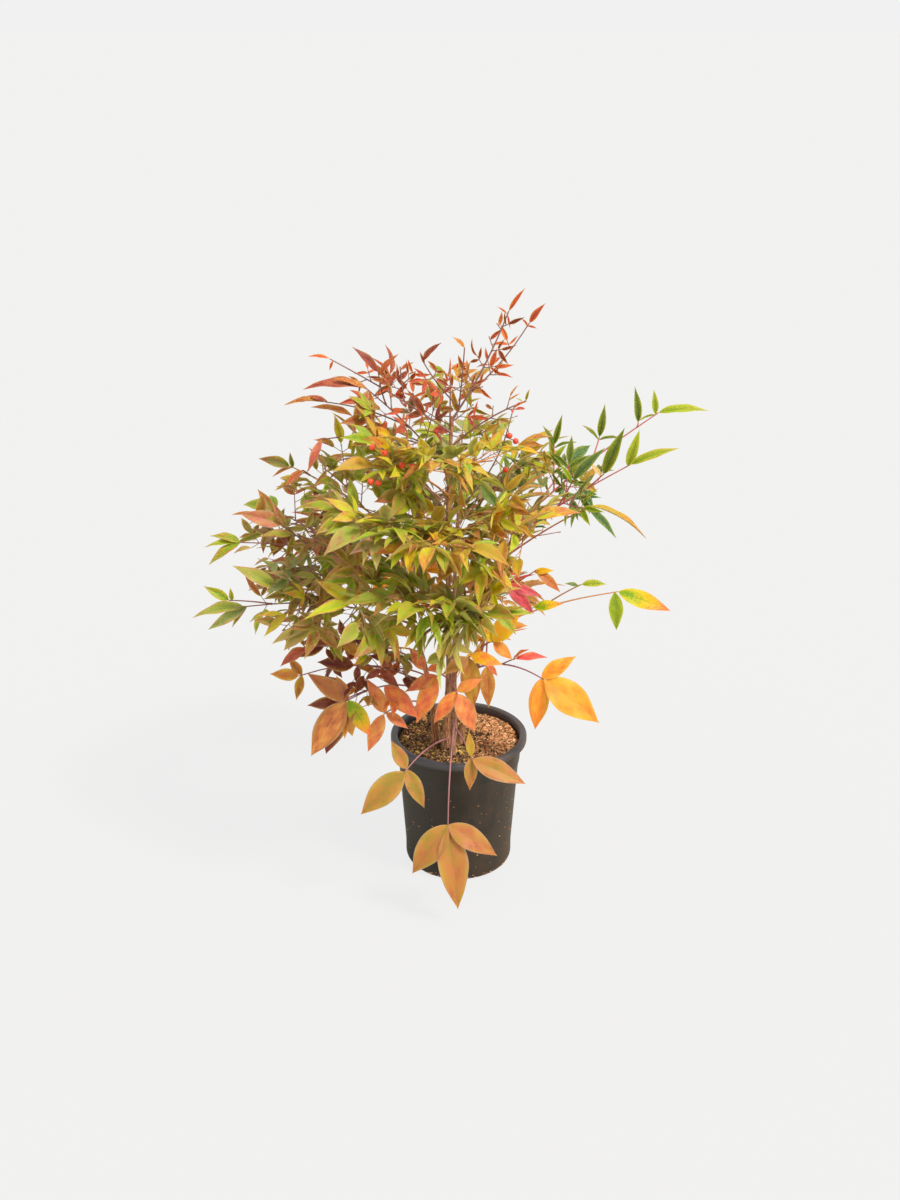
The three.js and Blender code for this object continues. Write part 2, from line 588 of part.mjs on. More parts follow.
/** A stalk that arches between two points, as a point and a frame at any share of it. */
function archedStalk(start, end, sag) {
  const facing = towards(end.y > BACK_FROM ? 90 : -90, FACING);
  const run = end.clone().sub(start);
  const heading = degrees(Math.atan2(run.y, run.x));
  const climb = degrees(Math.atan2(run.z, Math.hypot(run.x, run.y)));
  const climbAt = (share) => climb + sag * (0.5 - share);
  const middles = Array.from({ length: STALK.steps }, (_, i) => (i + 0.5) / STALK.steps);
  const pace = run.length() / middles.reduce((sum, share) => sum + Math.cos(radians(climbAt(share) - climb)), 0);
  const points = [start];
  for (const share of middles) {
    points.push(points.at(-1).clone().addScaledVector(towards(heading, climbAt(share)), pace));
  }
  const at = (share) => {
    const i = Math.min(Math.floor(share * STALK.steps), STALK.steps - 1);
    const point = points[i].clone().lerp(points[i + 1], share * STALK.steps - i);
    return { point, frame: frameAlong(towards(heading, climbAt(share)), facing) };
  };
  return { at, reach: pace * STALK.steps };
}

/** A frond's own stalk and its arms, each with its rings and the leaflet that ends it. */
function stalksOf(frond) {
  const cane = CANES[frond.cane];
  const foot = canePoint(cane, (frond.at - soilTop) / (cane.top - soilTop));
  const main = archedStalk(foot, vector(...frond.to), frond.sag);
  const limbs = [{ spec: frond, stalk: main }];
  for (const arm of frond.arms ?? []) {
    const start = main.at(arm.at).point;
    const spec = { cane: frond.cane, slim: frond.slim, ...arm };
    limbs.push({ spec, stalk: archedStalk(start, vector(...arm.to), arm.sag) });
  }
  return limbs.map(({ spec, stalk }) => {
    const rings = [pointRing(stalk.at(0).point, stalk.at(0).frame)];
    for (let i = 0; i <= STALK.steps; i++) {
      const share = i / STALK.steps;
      const { point, frame } = stalk.at(share);
      rings.push(roundRing(point, frame, lerp(STALK.radius, STALK.tipRadius, share)));
    }
    const end = stalk.at(1);
    const [heading, climb, roll] = spec.tip ?? [];
    const frame = spec.tip ? rolled(frameAlong(towards(heading, climb)), radians(roll)) : end.frame;
    const posed = { arch: LEAFLET.arch, bend: 0, slim: spec.slim };
    const last = leafRings(end.point, frame, spec.last ?? spec.leaf, spec.tip ? posed : {});
    const root = stalk.at(Math.max(0, 1 - LEAFLET.stagger / stalk.reach)).point;
    const beside = (spec.beside ?? []).map(([heading, climb, roll, length]) => {
      const lie = rolled(frameAlong(towards(heading, climb)), radians(roll));
      return [pointRing(root, lie), ...leafRings(root, lie, length, posed)];
    });
    return { spec, stalk, beside, end: { root, frame }, rings: [...rings, ...last] };
  });
}

/** The side leaflets of a three, as their rings. */
function sideLeaflets(end, length, random) {
  return [1, -1].map((side) => {
    const [r1, r2, r3, r4] = [random(), random(), random(), random()];
    const along = leftOf(end.frame, radians(side * SPRAY.open * (1 + (r1 - 0.5) * 0.4)));
    along.z -= SPRAY.droop * (2.4 * r2 - 0.6);
    const frame = rolled(frameAlong(along.normalize(), end.frame.up), radians(SPRAY.roll * (r3 - 0.5)));
    const size = length * SPRAY.sideLeaf * (0.84 + 0.32 * r4);
    return [pointRing(end.root, frame), ...leafRings(end.root, frame, size)];
  });
}

/** The side stalks of a stalk, each with its rings and the middle leaflet that ends it. */
function sideStalks({ spec, stalk }, random) {
  const made = [];
  for (let i = 0; i < (spec.pairs ?? 0); i++) {
    for (const side of [1, -1]) {
      const [r1, r2, r3, r4, r5] = [random(), random(), random(), random(), random()];
      const share = SPRAY.bare + ((1 - SPRAY.bare) * (i + 0.25 * r5)) / spec.pairs;
      const { point, frame } = stalk.at(share);
      const along = leftOf(frame, radians(side * SPRAY.spread * (0.85 + 0.3 * r1)));
      along.addScaledVector(frame.up, SPRAY.lift + SPRAY.tumble * (r2 - 0.5)).normalize();
      const length = spec.side * (1 - (SPRAY.shorten * i) / spec.pairs) * (0.8 + 0.4 * r3);
      const end = point.clone().addScaledVector(along, length);
      const level = rolled(frameAlong(along, frame.up), radians(SPRAY.roll * (r4 - 0.5)));
      const start = roundRing(point, level, TWIG.radius);
      const twig = [pointRing(point, level), start, roundRing(end, level, TWIG.tipRadius)];
      const size = spec.leaf * (1 - 0.16 * (r3 - 0.5));
      const root = end.clone().addScaledVector(along, -LEAFLET.stagger);
      made.push({ end: { root, frame: level }, size, rings: [...twig, ...leafRings(end, level, size)] });
    }
  }
  return made;
}

/** A frond's twigs and leaflets, joined on its stalks and cut clear of its cane. */
function frondSolid(frond, limbs, seed) {
  const random = seeded(seed);
  const bodies = limbs.flatMap(({ rings, beside }) => [rings, ...beside]);
  const addWhereFree = (rings, spray) => {
    const free = takeRoom(frond.name, spray, outlinesOf(rings));
    if (free) bodies.push(rings);
    return free;
  };
  limbs.forEach((limb, i) => {
    const { leaf, last = leaf, tip } = limb.spec;
    if (!tip) sideLeaflets(limb.end, last, random).forEach((rings) => addWhereFree(rings, `end ${i}`));
    sideStalks(limb, random).forEach((twig, j) => {
      const leaflets = sideLeaflets(twig.end, twig.size, random);
      if (addWhereFree(twig.rings, `${i} ${j}`)) leaflets.forEach((rings) => addWhereFree(rings, `${i} ${j}`));
    });
  });
  const joined = wasm.Manifold.union(bodies.map((rings) => solidOf(spindle(rings))));
  return joined.subtract(solidOf(caneGeometry(CANES[frond.cane], CLEAR)));
}

/** A fruiting stalk with its berries, cut clear of its cane. */
function panicleSolid(panicle, limbs) {
  const [{ stalk, rings }] = limbs;
  const last = rings[STALK.steps + 1];
  const bodies = [spindle([...rings.slice(0, STALK.steps + 2), pointRing(last.point, last.frame)])];
  for (const [share, ...place] of panicle.berries) {
    const { point } = stalk.at(share);
    const end = vector(...place);
    const along = end.clone().sub(point).normalize();
    const ends = [point, end].map((at) => roundRing(at, frameAlong(along), TWIG.tipRadius));
    const twig = [pointRing(point, frameAlong(along)), ...ends, pointRing(end, frameAlong(along))];
    const berry = new THREE.IcosahedronGeometry(BERRY_RADIUS, 0).translate(end.x, end.y, end.z);
    const outlines = [...outlinesOf(twig), outlineOfGeometry(berry)];
    if (takeRoom(panicle.name, "berries", outlines)) bodies.push(spindle(twig), berry);
  }
  const joined = wasm.Manifold.union(bodies.map(solidOf));
  return joined.subtract(solidOf(caneGeometry(CANES[panicle.cane], CLEAR)));
}

// ---- The whole plant ----

const plant = new THREE.Group();
plant.add(meshOf("pot", solidOf(potGeometry()), 0x26262a, 0.7));
plant.add(meshOf("soil", solidOf(soilGeometry()), 0x6e5238, 0.95));

// The pot, the canes and every stalk take their room first, so that side stalks and leaflets give way to them.
const potOutline = new THREE.CylinderGeometry(POT.rimRadius + 1, POT.footRadius + 8, POT.height + 1, 16);
potOutline.rotateX(Math.PI / 2).translate(0, 0, (POT.height + 1) / 2);
taken.push({ owner: "pot", outline: outlineOfGeometry(potOutline) });
for (const [name, cane] of Object.entries(CANES)) {
  caneShares.slice(1).forEach((share, i) => {
    taken.push({ owner: name, outline: outlineOfGeometry(caneGeometry(cane, CLEAR, [caneShares[i], share])) });
  });
  plant.add(meshOf(`cane_${name}`, solidOf(caneGeometry(cane)), 0x6b4a33, 0.85));
}

const growths = [
  ...FRONDS.map((spec) => ({ spec, limbs: stalksOf(spec), solidFrom: frondSolid, colour: LEAF_COLOURS[spec.tint] })),
  ...PANICLES.map((panicle) => {
    const spec = { ...panicle, name: `fruit_${panicle.name}`, leaf: 1 };
    return { spec, limbs: stalksOf(spec), solidFrom: panicleSolid, colour: 0xe8542a };
  }),
];
for (const { spec, limbs } of growths) {
  limbs.forEach(({ rings }, i) => {
    if (!takeRoom(spec.name, `end ${i}`, outlinesOf(rings), spec.cane)) {
      throw new Error(`stalk ${i} of ${spec.name} touches another limb`);
    }
  });
}
for (const { spec, limbs } of growths) {
  limbs.forEach((limb, i) => {
    limb.beside = limb.beside.filter((rings) => takeRoom(spec.name, `end ${i}`, outlinesOf(rings)));
  });
}
growths.forEach(({ spec, limbs, solidFrom, colour }, i) => {
  plant.add(meshOf(spec.name, solidFrom(spec, limbs, i + 1), colour));
});

export default plant;
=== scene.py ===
"""Heavenly bamboo in a nursery pot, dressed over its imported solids.

Every compound leaf is grown again by the rule of the solids, with the same chance draws, so each fine leaflet hangs
where its solid one does, and finer twigs fill the same reach. Growth is worked out in millimetres.
"""

import logging
from dataclasses import dataclass, field, replace
from enum import Enum
from functools import cache
from math import atan2, cos, degrees, hypot, inf, pi, radians, sin, sqrt
from typing import ClassVar, Sequence, TypeVar

import bmesh
import bpy
import numpy as np
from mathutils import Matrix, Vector, noise


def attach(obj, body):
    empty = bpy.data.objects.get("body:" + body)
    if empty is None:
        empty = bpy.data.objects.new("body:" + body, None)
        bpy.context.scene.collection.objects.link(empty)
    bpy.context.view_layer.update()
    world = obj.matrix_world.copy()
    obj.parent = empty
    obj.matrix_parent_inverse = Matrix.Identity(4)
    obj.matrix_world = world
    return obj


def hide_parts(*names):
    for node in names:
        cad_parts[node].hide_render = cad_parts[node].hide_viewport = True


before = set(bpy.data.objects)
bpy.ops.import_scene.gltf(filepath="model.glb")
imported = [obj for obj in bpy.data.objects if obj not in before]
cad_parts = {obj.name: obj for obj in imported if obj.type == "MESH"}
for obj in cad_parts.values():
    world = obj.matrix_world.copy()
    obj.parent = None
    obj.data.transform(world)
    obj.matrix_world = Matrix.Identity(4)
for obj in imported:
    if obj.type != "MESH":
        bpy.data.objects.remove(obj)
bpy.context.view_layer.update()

log = logging.getLogger("heavenly_bamboo")

MM = 0.001  # growth is in millimetres, and the scene in metres
UP = Vector((0, 0, 1))

Span = tuple[float, float]
Triple = tuple[float, float, float]
Face = tuple[int, ...]
Stops = tuple[tuple[float, str], ...]
Choice = TypeVar("Choice")


# ---- Colours and finishes ----

STEPS = 6  # colours of a leaflet's upper side
UNDER_SHARE = 0.6  # how far each has turned to the underside's colour on the underside


class Strip(Enum):
    """Rows of neighbouring colours through which a leaflet turns, from its heart to its edges and tip.

    Each has a few sRGB hex colours in order, the last of them that of its underside.
    """

    SPRING = ("7c961c", "90a228", "a2a034", "a6883a", "b4b078")
    MEADOW = ("86a024", "96982c", "9c8838", "9c6a3e", "a5563a", "b2ab7a")
    OLIVE = ("8c983a", "978f3e", "9c7c4a", "a0654c", "984a3c", "b0a47a")
    MIST = ("7c8c4c", "888c54", "948458", "a07860", "94584e", "a49878")
    SAGE = ("a5a456", "aa984e", "a98560", "a8746a", "b8aa84")
    FOREST = ("4e6a1a", "5e7420", "707828", "7c6832", "804c32", "868e5c")
    SEA = ("44683a", "52723a", "64783a", "767638", "80643e", "7c8c68")
    LIME = ("a8b628", "b6b428", "c0a42c", "c08838", "b86c3e", "c4bc78")
    CITRON = ("d2ce14", "d6bc18", "d0a324", "c88632", "bc6a38", "d8c878")
    GOLD = ("dcb41a", "e4aa1c", "e8982a", "e88236", "e0bc70")
    OCHRE = ("a8942c", "b48a2e", "b07634", "9c5632", "c8a870")
    AMBER = ("eca034", "ec9230", "e4822c", "d8702e", "e0a45c")
    ORANGE = ("dca048", "e08a40", "dc7644", "cc6244", "dca46c")
    PEACH = ("dc9c58", "dc8654", "d4734c", "c06044", "dca480")
    CORAL = ("d28a50", "cc744c", "c05e44", "a84c3a", "d0957a")
    SCARLET = ("f07a3c", "ea5634", "dc4434", "bc3a34", "d08470")
    ROSE = ("e8745e", "e05460", "cc4658", "a83c48", "d48c88")
    PLUM = ("8c4c3c", "78382f", "6a302e", "84453e", "94706a")
    MAROON = ("a65c40", "984634", "84382e", "743430", "a87c6c")
    TAN = ("988034", "a87e38", "b47a40", "b27046", "a66040", "c09a68")
    BARK_TAN = ("d8a456", "d49650", "cc804a", "b06840", "d4b088")
    BRONZE = ("8e8238", "96702f", "9c5c34", "a34a34", "8a3c30", "b08c6c")
    COPPER = ("b47c38", "b46834", "ac5430", "9c4430", "b88468")
    FLAME = ("c8743a", "c85c32", "bc4a30", "a03e30", "c07c64")
    ROSY = ("949640", "a88a4a", "b8725a", "b05c54", "c8a088")
    PINK = ("b8845c", "c27a62", "c26a5a", "b0574c", "d0a08c")
    TURNING = ("86a41c", "b8b01c", "e8b41c", "f2963a", "e86e48", "e0b878")
    BUFF = ("dcc080", "d6b078", "cc9c6c", "bc8660", "d8c09c")

    @property
    def steps(self) -> tuple[str, ...]:
        """The colours of its upper side, evenly spaced."""
        return blended(self.value[:-1], STEPS)

    @property
    def under_steps(self) -> tuple[str, ...]:
        """The paler colours of its underside, one for every two above."""
        return tuple(mixed(code, self.value[-1], UNDER_SHARE) for code in self.steps[::2])


def strips(names: str) -> tuple[Strip, ...]:
    """The strips of these names, in order."""
    return tuple(Strip[name] for name in names.split())


def mixed(first: str, second: str, share: float) -> str:
    """An sRGB hex colour that lies between two others."""
    pairs = [(int(first[i : i + 2], 16), int(second[i : i + 2], 16)) for i in (0, 2, 4)]
    return "".join(f"{round(a + (b - a) * share):02x}" for a, b in pairs)


@cache
def blended(codes: tuple[str, ...], count: int) -> tuple[str, ...]:
    """Some evenly spaced colours along a row of sRGB hex colours.

    Args:
        codes: The row.
        count: How many colours are wanted.

    Returns:
        Their hex codes.
    """
    places = [i * (len(codes) - 1) / (count - 1) for i in range(count)]
    starts = [min(int(place), len(codes) - 2) for place in places]
    return tuple(mixed(codes[i], codes[i + 1], place - i) for i, place in zip(starts, places))


def linear(code: str) -> tuple[float, float, float, float]:
    """Turns an sRGB hex colour to linear.

    Args:
        code: Six hex digits.

    Returns:
        Red, green, blue and an alpha of 1.
    """
    shares = [int(code[i : i + 2], 16) / 255 for i in (0, 2, 4)]
    red, green, blue = (c / 12.92 if c <= 0.04045 else ((c + 0.055) / 1.055) ** 2.4 for c in shares)
    return (red, green, blue, 1.0)


Tree, Node, Socket = bpy.types.NodeTree, bpy.types.Node, bpy.types.NodeSocket


def fill(node: Node, inputs: dict[str | int, object]) -> None:
    """Sets a node's inputs.

    Args:
        node: The node.
        inputs: Each input's name or number, with its value or the socket that feeds it.
    """
    for name, value in inputs.items():
        if isinstance(value, Socket):
            node.id_data.links.new(value, node.inputs[name])
        else:
            node.inputs[name].default_value = value


def add_node(
    tree: Tree,
    kind: str,
    inputs: dict[str | int, object] | None = None,
    stops: Sequence[tuple[float, str]] = (),
    **settings: object,
) -> Node:
    """Adds a node with its settings and its inputs.

    Args:
        tree: The node tree that gets it.
        kind: Its type, such as ShaderNodeTexNoise.
        inputs: Its inputs' values, or the sockets that feed them.
        stops: The places of a colour ramp from 0 to 1, each with an sRGB hex colour.
        settings: Its own properties.

    Returns:
        The new node.
    """
    node = tree.nodes.new(kind)
    for name, value in settings.items():
        setattr(node, name, value)
    for i, (place, code) in enumerate(stops):
        elements = node.color_ramp.elements
        element = elements[i] if i < 2 else elements.new(place)
        element.position, element.color = place, linear(code)
    fill(node, inputs or {})
    return node


class Finish:
    """A surface as it was made or grown. Each kind fills in its own nodes."""

    name: str

    def dress(self, tree: Tree, skin: Node) -> None:
        """Sets the surface shader and adds the nodes that feed it.

        Args:
            tree: The material's node tree.
            skin: Its Principled BSDF.
        """
        raise NotImplementedError

    def grained(
        self, tree: Tree, size_mm: float, detail: float = 3.0, stretch: Sequence[float] = (1, 1, 1)
    ) -> Socket:
        """Adds a grain of one size.

        Args:
            tree: The node tree that gets it.
            size_mm: The size of a feature, in millimetres.
            detail: How many finer octaves it holds.
            stretch: How much longer a feature is along X, Y and Z.

        Returns:
            Its value, about 0.5 on average.
        """
        place = add_node(tree, "ShaderNodeTexCoord").outputs["Object"]
        inputs = {"Vector": place, "Scale": [1 / s for s in stretch]}
        place = add_node(tree, "ShaderNodeMapping", inputs).outputs["Vector"]
        inputs = {"Vector": place, "Scale": 1 / (size_mm * MM), "Detail": detail, "Roughness": 0.6}
        return add_node(tree, "ShaderNodeTexNoise", inputs).outputs["Fac"]

    def relieved(self, tree: Tree, skin: Node, height: Socket, depth_mm: float) -> None:
        """Gives a surface the relief of a grain, `depth_mm` millimetres deep."""
        relief = add_node(tree, "ShaderNodeBump", {"Height": height, "Strength": 1.0, "Distance": depth_mm * MM})
        fill(skin, {"Normal": relief.outputs["Normal"]})

    def material(self) -> bpy.types.Material:
        """The finish as a material, made on first use."""
        found = bpy.data.materials.get(self.name)
        if found:
            return found
        made = bpy.data.materials.new(self.name)
        made.use_nodes = True
        self.dress(made.node_tree, made.node_tree.nodes["Principled BSDF"])
        return made


@dataclass(frozen=True)
class PlainFinish(Finish):
    """A surface of one plain colour under a faint grain."""

    kind: ClassVar[str]

    code: str
    roughness: float = 0.5
    grain_mm: float = 1.0
    relief_mm: float = 0.1

    @property
    def name(self) -> str:
        """The material's name."""
        return f"{self.kind}_{self.code}"

    def dress(self, tree: Tree, skin: Node) -> None:
        """Its colour, its gloss and its grain."""
        fill(skin, {"Base Color": linear(self.code), "Roughness": self.roughness})
        self.relieved(tree, skin, self.grained(tree, self.grain_mm), self.relief_mm)


@dataclass(frozen=True)
class LeafSkin(PlainFinish):
    """Grown leaf skin: one plain colour under a thin wax cuticle, whose cells break up its soft gloss."""

    kind: ClassVar[str] = "waxy_leaf"

    grain_mm: float = 1.5  # real cells are finer, and wouldn't show
    relief_mm: float = 0.12
    gloss: float = 0.36
    wax_ior: float = 1.45
    glow: float = 0.6  # how much light passes through it, which brightens the inside of the crown
    depth_mm: float = 1.5  # how deep into it light goes
    depths: Triple = (1.0, 0.9, 0.3)  # of it for red, green and blue

    def dress(self, tree: Tree, skin: Node) -> None:
        """A leaf's colour is plain, and its gloss is that of wax."""
        super().dress(tree, skin)
        fill(skin, {"IOR": self.wax_ior, "Specular IOR Level": self.gloss, "Subsurface Weight": self.glow})
        fill(skin, {"Subsurface Radius": self.depths, "Subsurface Scale": self.depth_mm * MM})


@dataclass(frozen=True)
class StalkRind(PlainFinish):
    """The grown rind of a leaf stalk or bud: plain, with faint ribs and a satin gloss."""

    kind: ClassVar[str] = "stalk_rind"


@dataclass(frozen=True)
class BerrySkin(PlainFinish):
    """The tight skin of a ripe berry: orange-red, faintly dimpled, and glossy enough for one soft highlight."""

    name: ClassVar[str] = "berry_skin"

    code: str = "f0482a"
    roughness: float = 0.34
    grain_mm: float = 1.5
    relief_mm: float = 0.06
    coat: float = 0.3
    coat_roughness: float = 0.2

    def dress(self, tree: Tree, skin: Node) -> None:
        """One plain colour under a smooth coat."""
        super().dress(tree, skin)
        fill(skin, {"Coat Weight": self.coat, "Coat Roughness": self.coat_roughness})


@dataclass(frozen=True)
class Chip(PlainFinish):
    """A loose chip of bark or fibre: one plain dry colour, matt, with a rough break."""

    kind: ClassVar[str] = "bark_chip"

    roughness: float = 0.92
    grain_mm: float = 0.8
    relief_mm: float = 0.2


@dataclass(frozen=True)
class MouldedPolypropylene(Finish):
    """Black moulded polypropylene with potting dust on it: matt brown on the right, with a painted bluish highlight
    on its lip.
    """

    name: str = "moulded_polypropylene"
    clean: str = "141518"
    dusty: str = "5c452f"
    # a pale blue-grey painted on the lip as a highlight
    lip_highlight: str = "484c56"
    lip_from: float = 162.0  # mm
    lip_blend: float = 6.0  # mm
    lip_highlight_share: float = 0.85  # how far its lip is painted in the pale highlight colour
    dust_span: Span = (-45.0, 70.0)  # from left to right, in mm
    dust: Span = (0.02, 0.5)  # how thick its clouds are at the two ends of that span
    cloud_mm: float = 24
    cloud_span: Span = (0.36, 0.62)  # of their grain, from no dust to the most
    speck_mm: float = 1.6
    speck_span: Span = (0.62, 0.74)
    specks: float = 0.45  # how thick they are
    roughness: Span = (0.4, 0.85)  # where it is clean, and under dust
    grain_mm: float = 0.9
    relief_mm: float = 0.08

    def dress(self, tree: Tree, skin: Node) -> None:
        """Dust lies in soft clouds and specks, thicker to the right, and the lip is painted paler as a highlight.
        """
        place = add_node(tree, "ShaderNodeTexCoord").outputs["Object"]
        split = add_node(tree, "ShaderNodeSeparateXYZ", {"Vector": place})
        clouds = self.grained(tree, self.cloud_mm, 5.0, (1, 1, 2.2))
        specks = self.grained(tree, self.speck_mm, 2.0)
        dust_span = [x * MM for x in self.dust_span]
        lip_span = (self.lip_from * MM, (self.lip_from + self.lip_blend) * MM)
        masks = (
            (split.outputs["X"], dust_span, self.dust),
            (clouds, self.cloud_span, (0.0, 1.0)),
            (specks, self.speck_span, (0.0, self.specks)),
            # the painted highlight along the lip
            (split.outputs["Z"], lip_span, (0.0, self.lip_highlight_share)),
        )
        names = ("From Min", "From Max", "To Min", "To Max")
        side, cloud, speck, lip = (
            add_node(tree, "ShaderNodeMapRange", {"Value": source, **dict(zip(names, (*span, *shares)))}).outputs[0]
            for source, span, shares in masks
        )
        fill(cloud.node, {"To Max": side})
        dust = add_node(tree, "ShaderNodeMath", {0: cloud, 1: speck}, operation="ADD", use_clamp=True).outputs[0]
        # the lip painted paler, towards the highlight colour
        colours = {"Factor": lip, "A": linear(self.clean), "B": linear(self.lip_highlight)}
        plain = add_node(tree, "ShaderNodeMix", colours, data_type="RGBA").outputs["Result"]
        colours = {"Factor": dust, "A": plain, "B": linear(self.dusty)}
        coated = add_node(tree, "ShaderNodeMix", colours, data_type="RGBA").outputs["Result"]
        clear, dull = self.roughness
        rough = add_node(tree, "ShaderNodeMapRange", {"Value": dust, "To Min": clear, "To Max": dull}).outputs[0]
        fill(skin, {"Base Color": coated, "Roughness": rough})
        self.relieved(tree, skin, self.grained(tree, self.grain_mm), self.relief_mm)


@dataclass(frozen=True)
class MilledBark(Finish):
    """Milled pine bark under the loose chips: dark, damp and crumbly."""

    name: str = "milled_pine_bark"
    stops: Stops = ((0.3, "241a12"), (0.5, "543a26"), (0.68, "9a7450"))
    roughness: float = 0.95
    crumb_mm: float = 2.0
    relief_mm: float = 1.5

    def dress(self, tree: Tree, skin: Node) -> None:
        """Crumbs from near black to brown."""
        crumbs = self.grained(tree, self.crumb_mm, 5.0)
        colour = add_node(tree, "ShaderNodeValToRGB", {"Fac": crumbs}, self.stops).outputs["Color"]
        fill(skin, {"Base Color": colour, "Roughness": self.roughness})
        self.relieved(tree, skin, crumbs, self.relief_mm)


@dataclass(frozen=True)
class CaneBark(Finish):
    """The bark of old canes: long tan and brown fibres, weathered grey between them, quite matt."""

    name: str = "fibrous_cane_bark"
    brown: Stops = ((0.3, "54321f"), (0.48, "94603f"), (0.66, "cc9a70"))
    grey: Stops = ((0.3, "5c4c40"), (0.5, "9c8066"), (0.68, "ccb594"))
    fibre_mm: float = 1.1
    fibre_length: float = 28  # of its width
    patch_mm: float = 14
    patch_span: Span = (0.46, 0.66)  # of their grain, from brown to grey
    greyest: float = 0.8
    roughness: float = 0.85
    relief_mm: float = 0.6

    def dress(self, tree: Tree, skin: Node) -> None:
        """Fibres along the cane, with a slower change from red-brown to grey."""
        fibres = self.grained(tree, self.fibre_mm, 4.0, (1, 1, self.fibre_length))
        brown, grey = (
            add_node(tree, "ShaderNodeValToRGB", {"Fac": fibres}, stops).outputs["Color"]
            for stops in (self.brown, self.grey)
        )
        patches = self.grained(tree, self.patch_mm, 3.0, (1, 1, 3))
        low, high = self.patch_span
        span = {"Value": patches, "From Min": low, "From Max": high, "To Max": self.greyest}
        share = add_node(tree, "ShaderNodeMapRange", span).outputs[0]
        colour = add_node(tree, "ShaderNodeMix", {"Factor": share, "A": brown, "B": grey}, data_type="RGBA")
        fill(skin, {"Base Color": colour.outputs["Result"], "Roughness": self.roughness})
        self.relieved(tree, skin, fibres, self.relief_mm)


@dataclass(frozen=True)
class StudioPaper(Finish):
    """Seamless background paper, lit from behind to an even pale grey, on which a shadow is only faint."""

    name: str = "seamless_paper"
    code: str = "f1f1f1"
    shade: float = 0.06  # how much of its brightness comes from the lamps, and so falls in shadow
    lamps: float = 1.6  # how bright the lamps are on it
    bounce: str = "c0baae"  # what it throws back on the plant

    def dress(self, tree: Tree, skin: Node) -> None:
        """Pale where it is looked at, and mid grey where it lights the plant from below."""
        colour = linear(self.code)
        shaded = (*(c * self.shade for c in colour[:3]), 1)
        fill(skin, {"Base Color": shaded, "Roughness": 1.0, "Specular IOR Level": 0.0})
        fill(skin, {"Emission Color": colour, "Emission Strength": 1 - self.shade * self.lamps})
        card = add_node(tree, "ShaderNodeBsdfDiffuse", {"Color": linear(self.bounce)})
        seen = add_node(tree, "ShaderNodeLightPath").outputs["Is Camera Ray"]
        both = add_node(tree, "ShaderNodeMixShader", {"Fac": seen, 1: card.outputs[0], 2: skin.outputs[0]})
        fill(tree.nodes["Material Output"], {"Surface": both.outputs[0]})


# ---- Meshes ----


def placed(name: str, data: bpy.types.ID) -> bpy.types.Object:
    """A new object in the scene, with this data."""
    made = bpy.data.objects.new(name, data)
    bpy.context.scene.collection.objects.link(made)
    return made


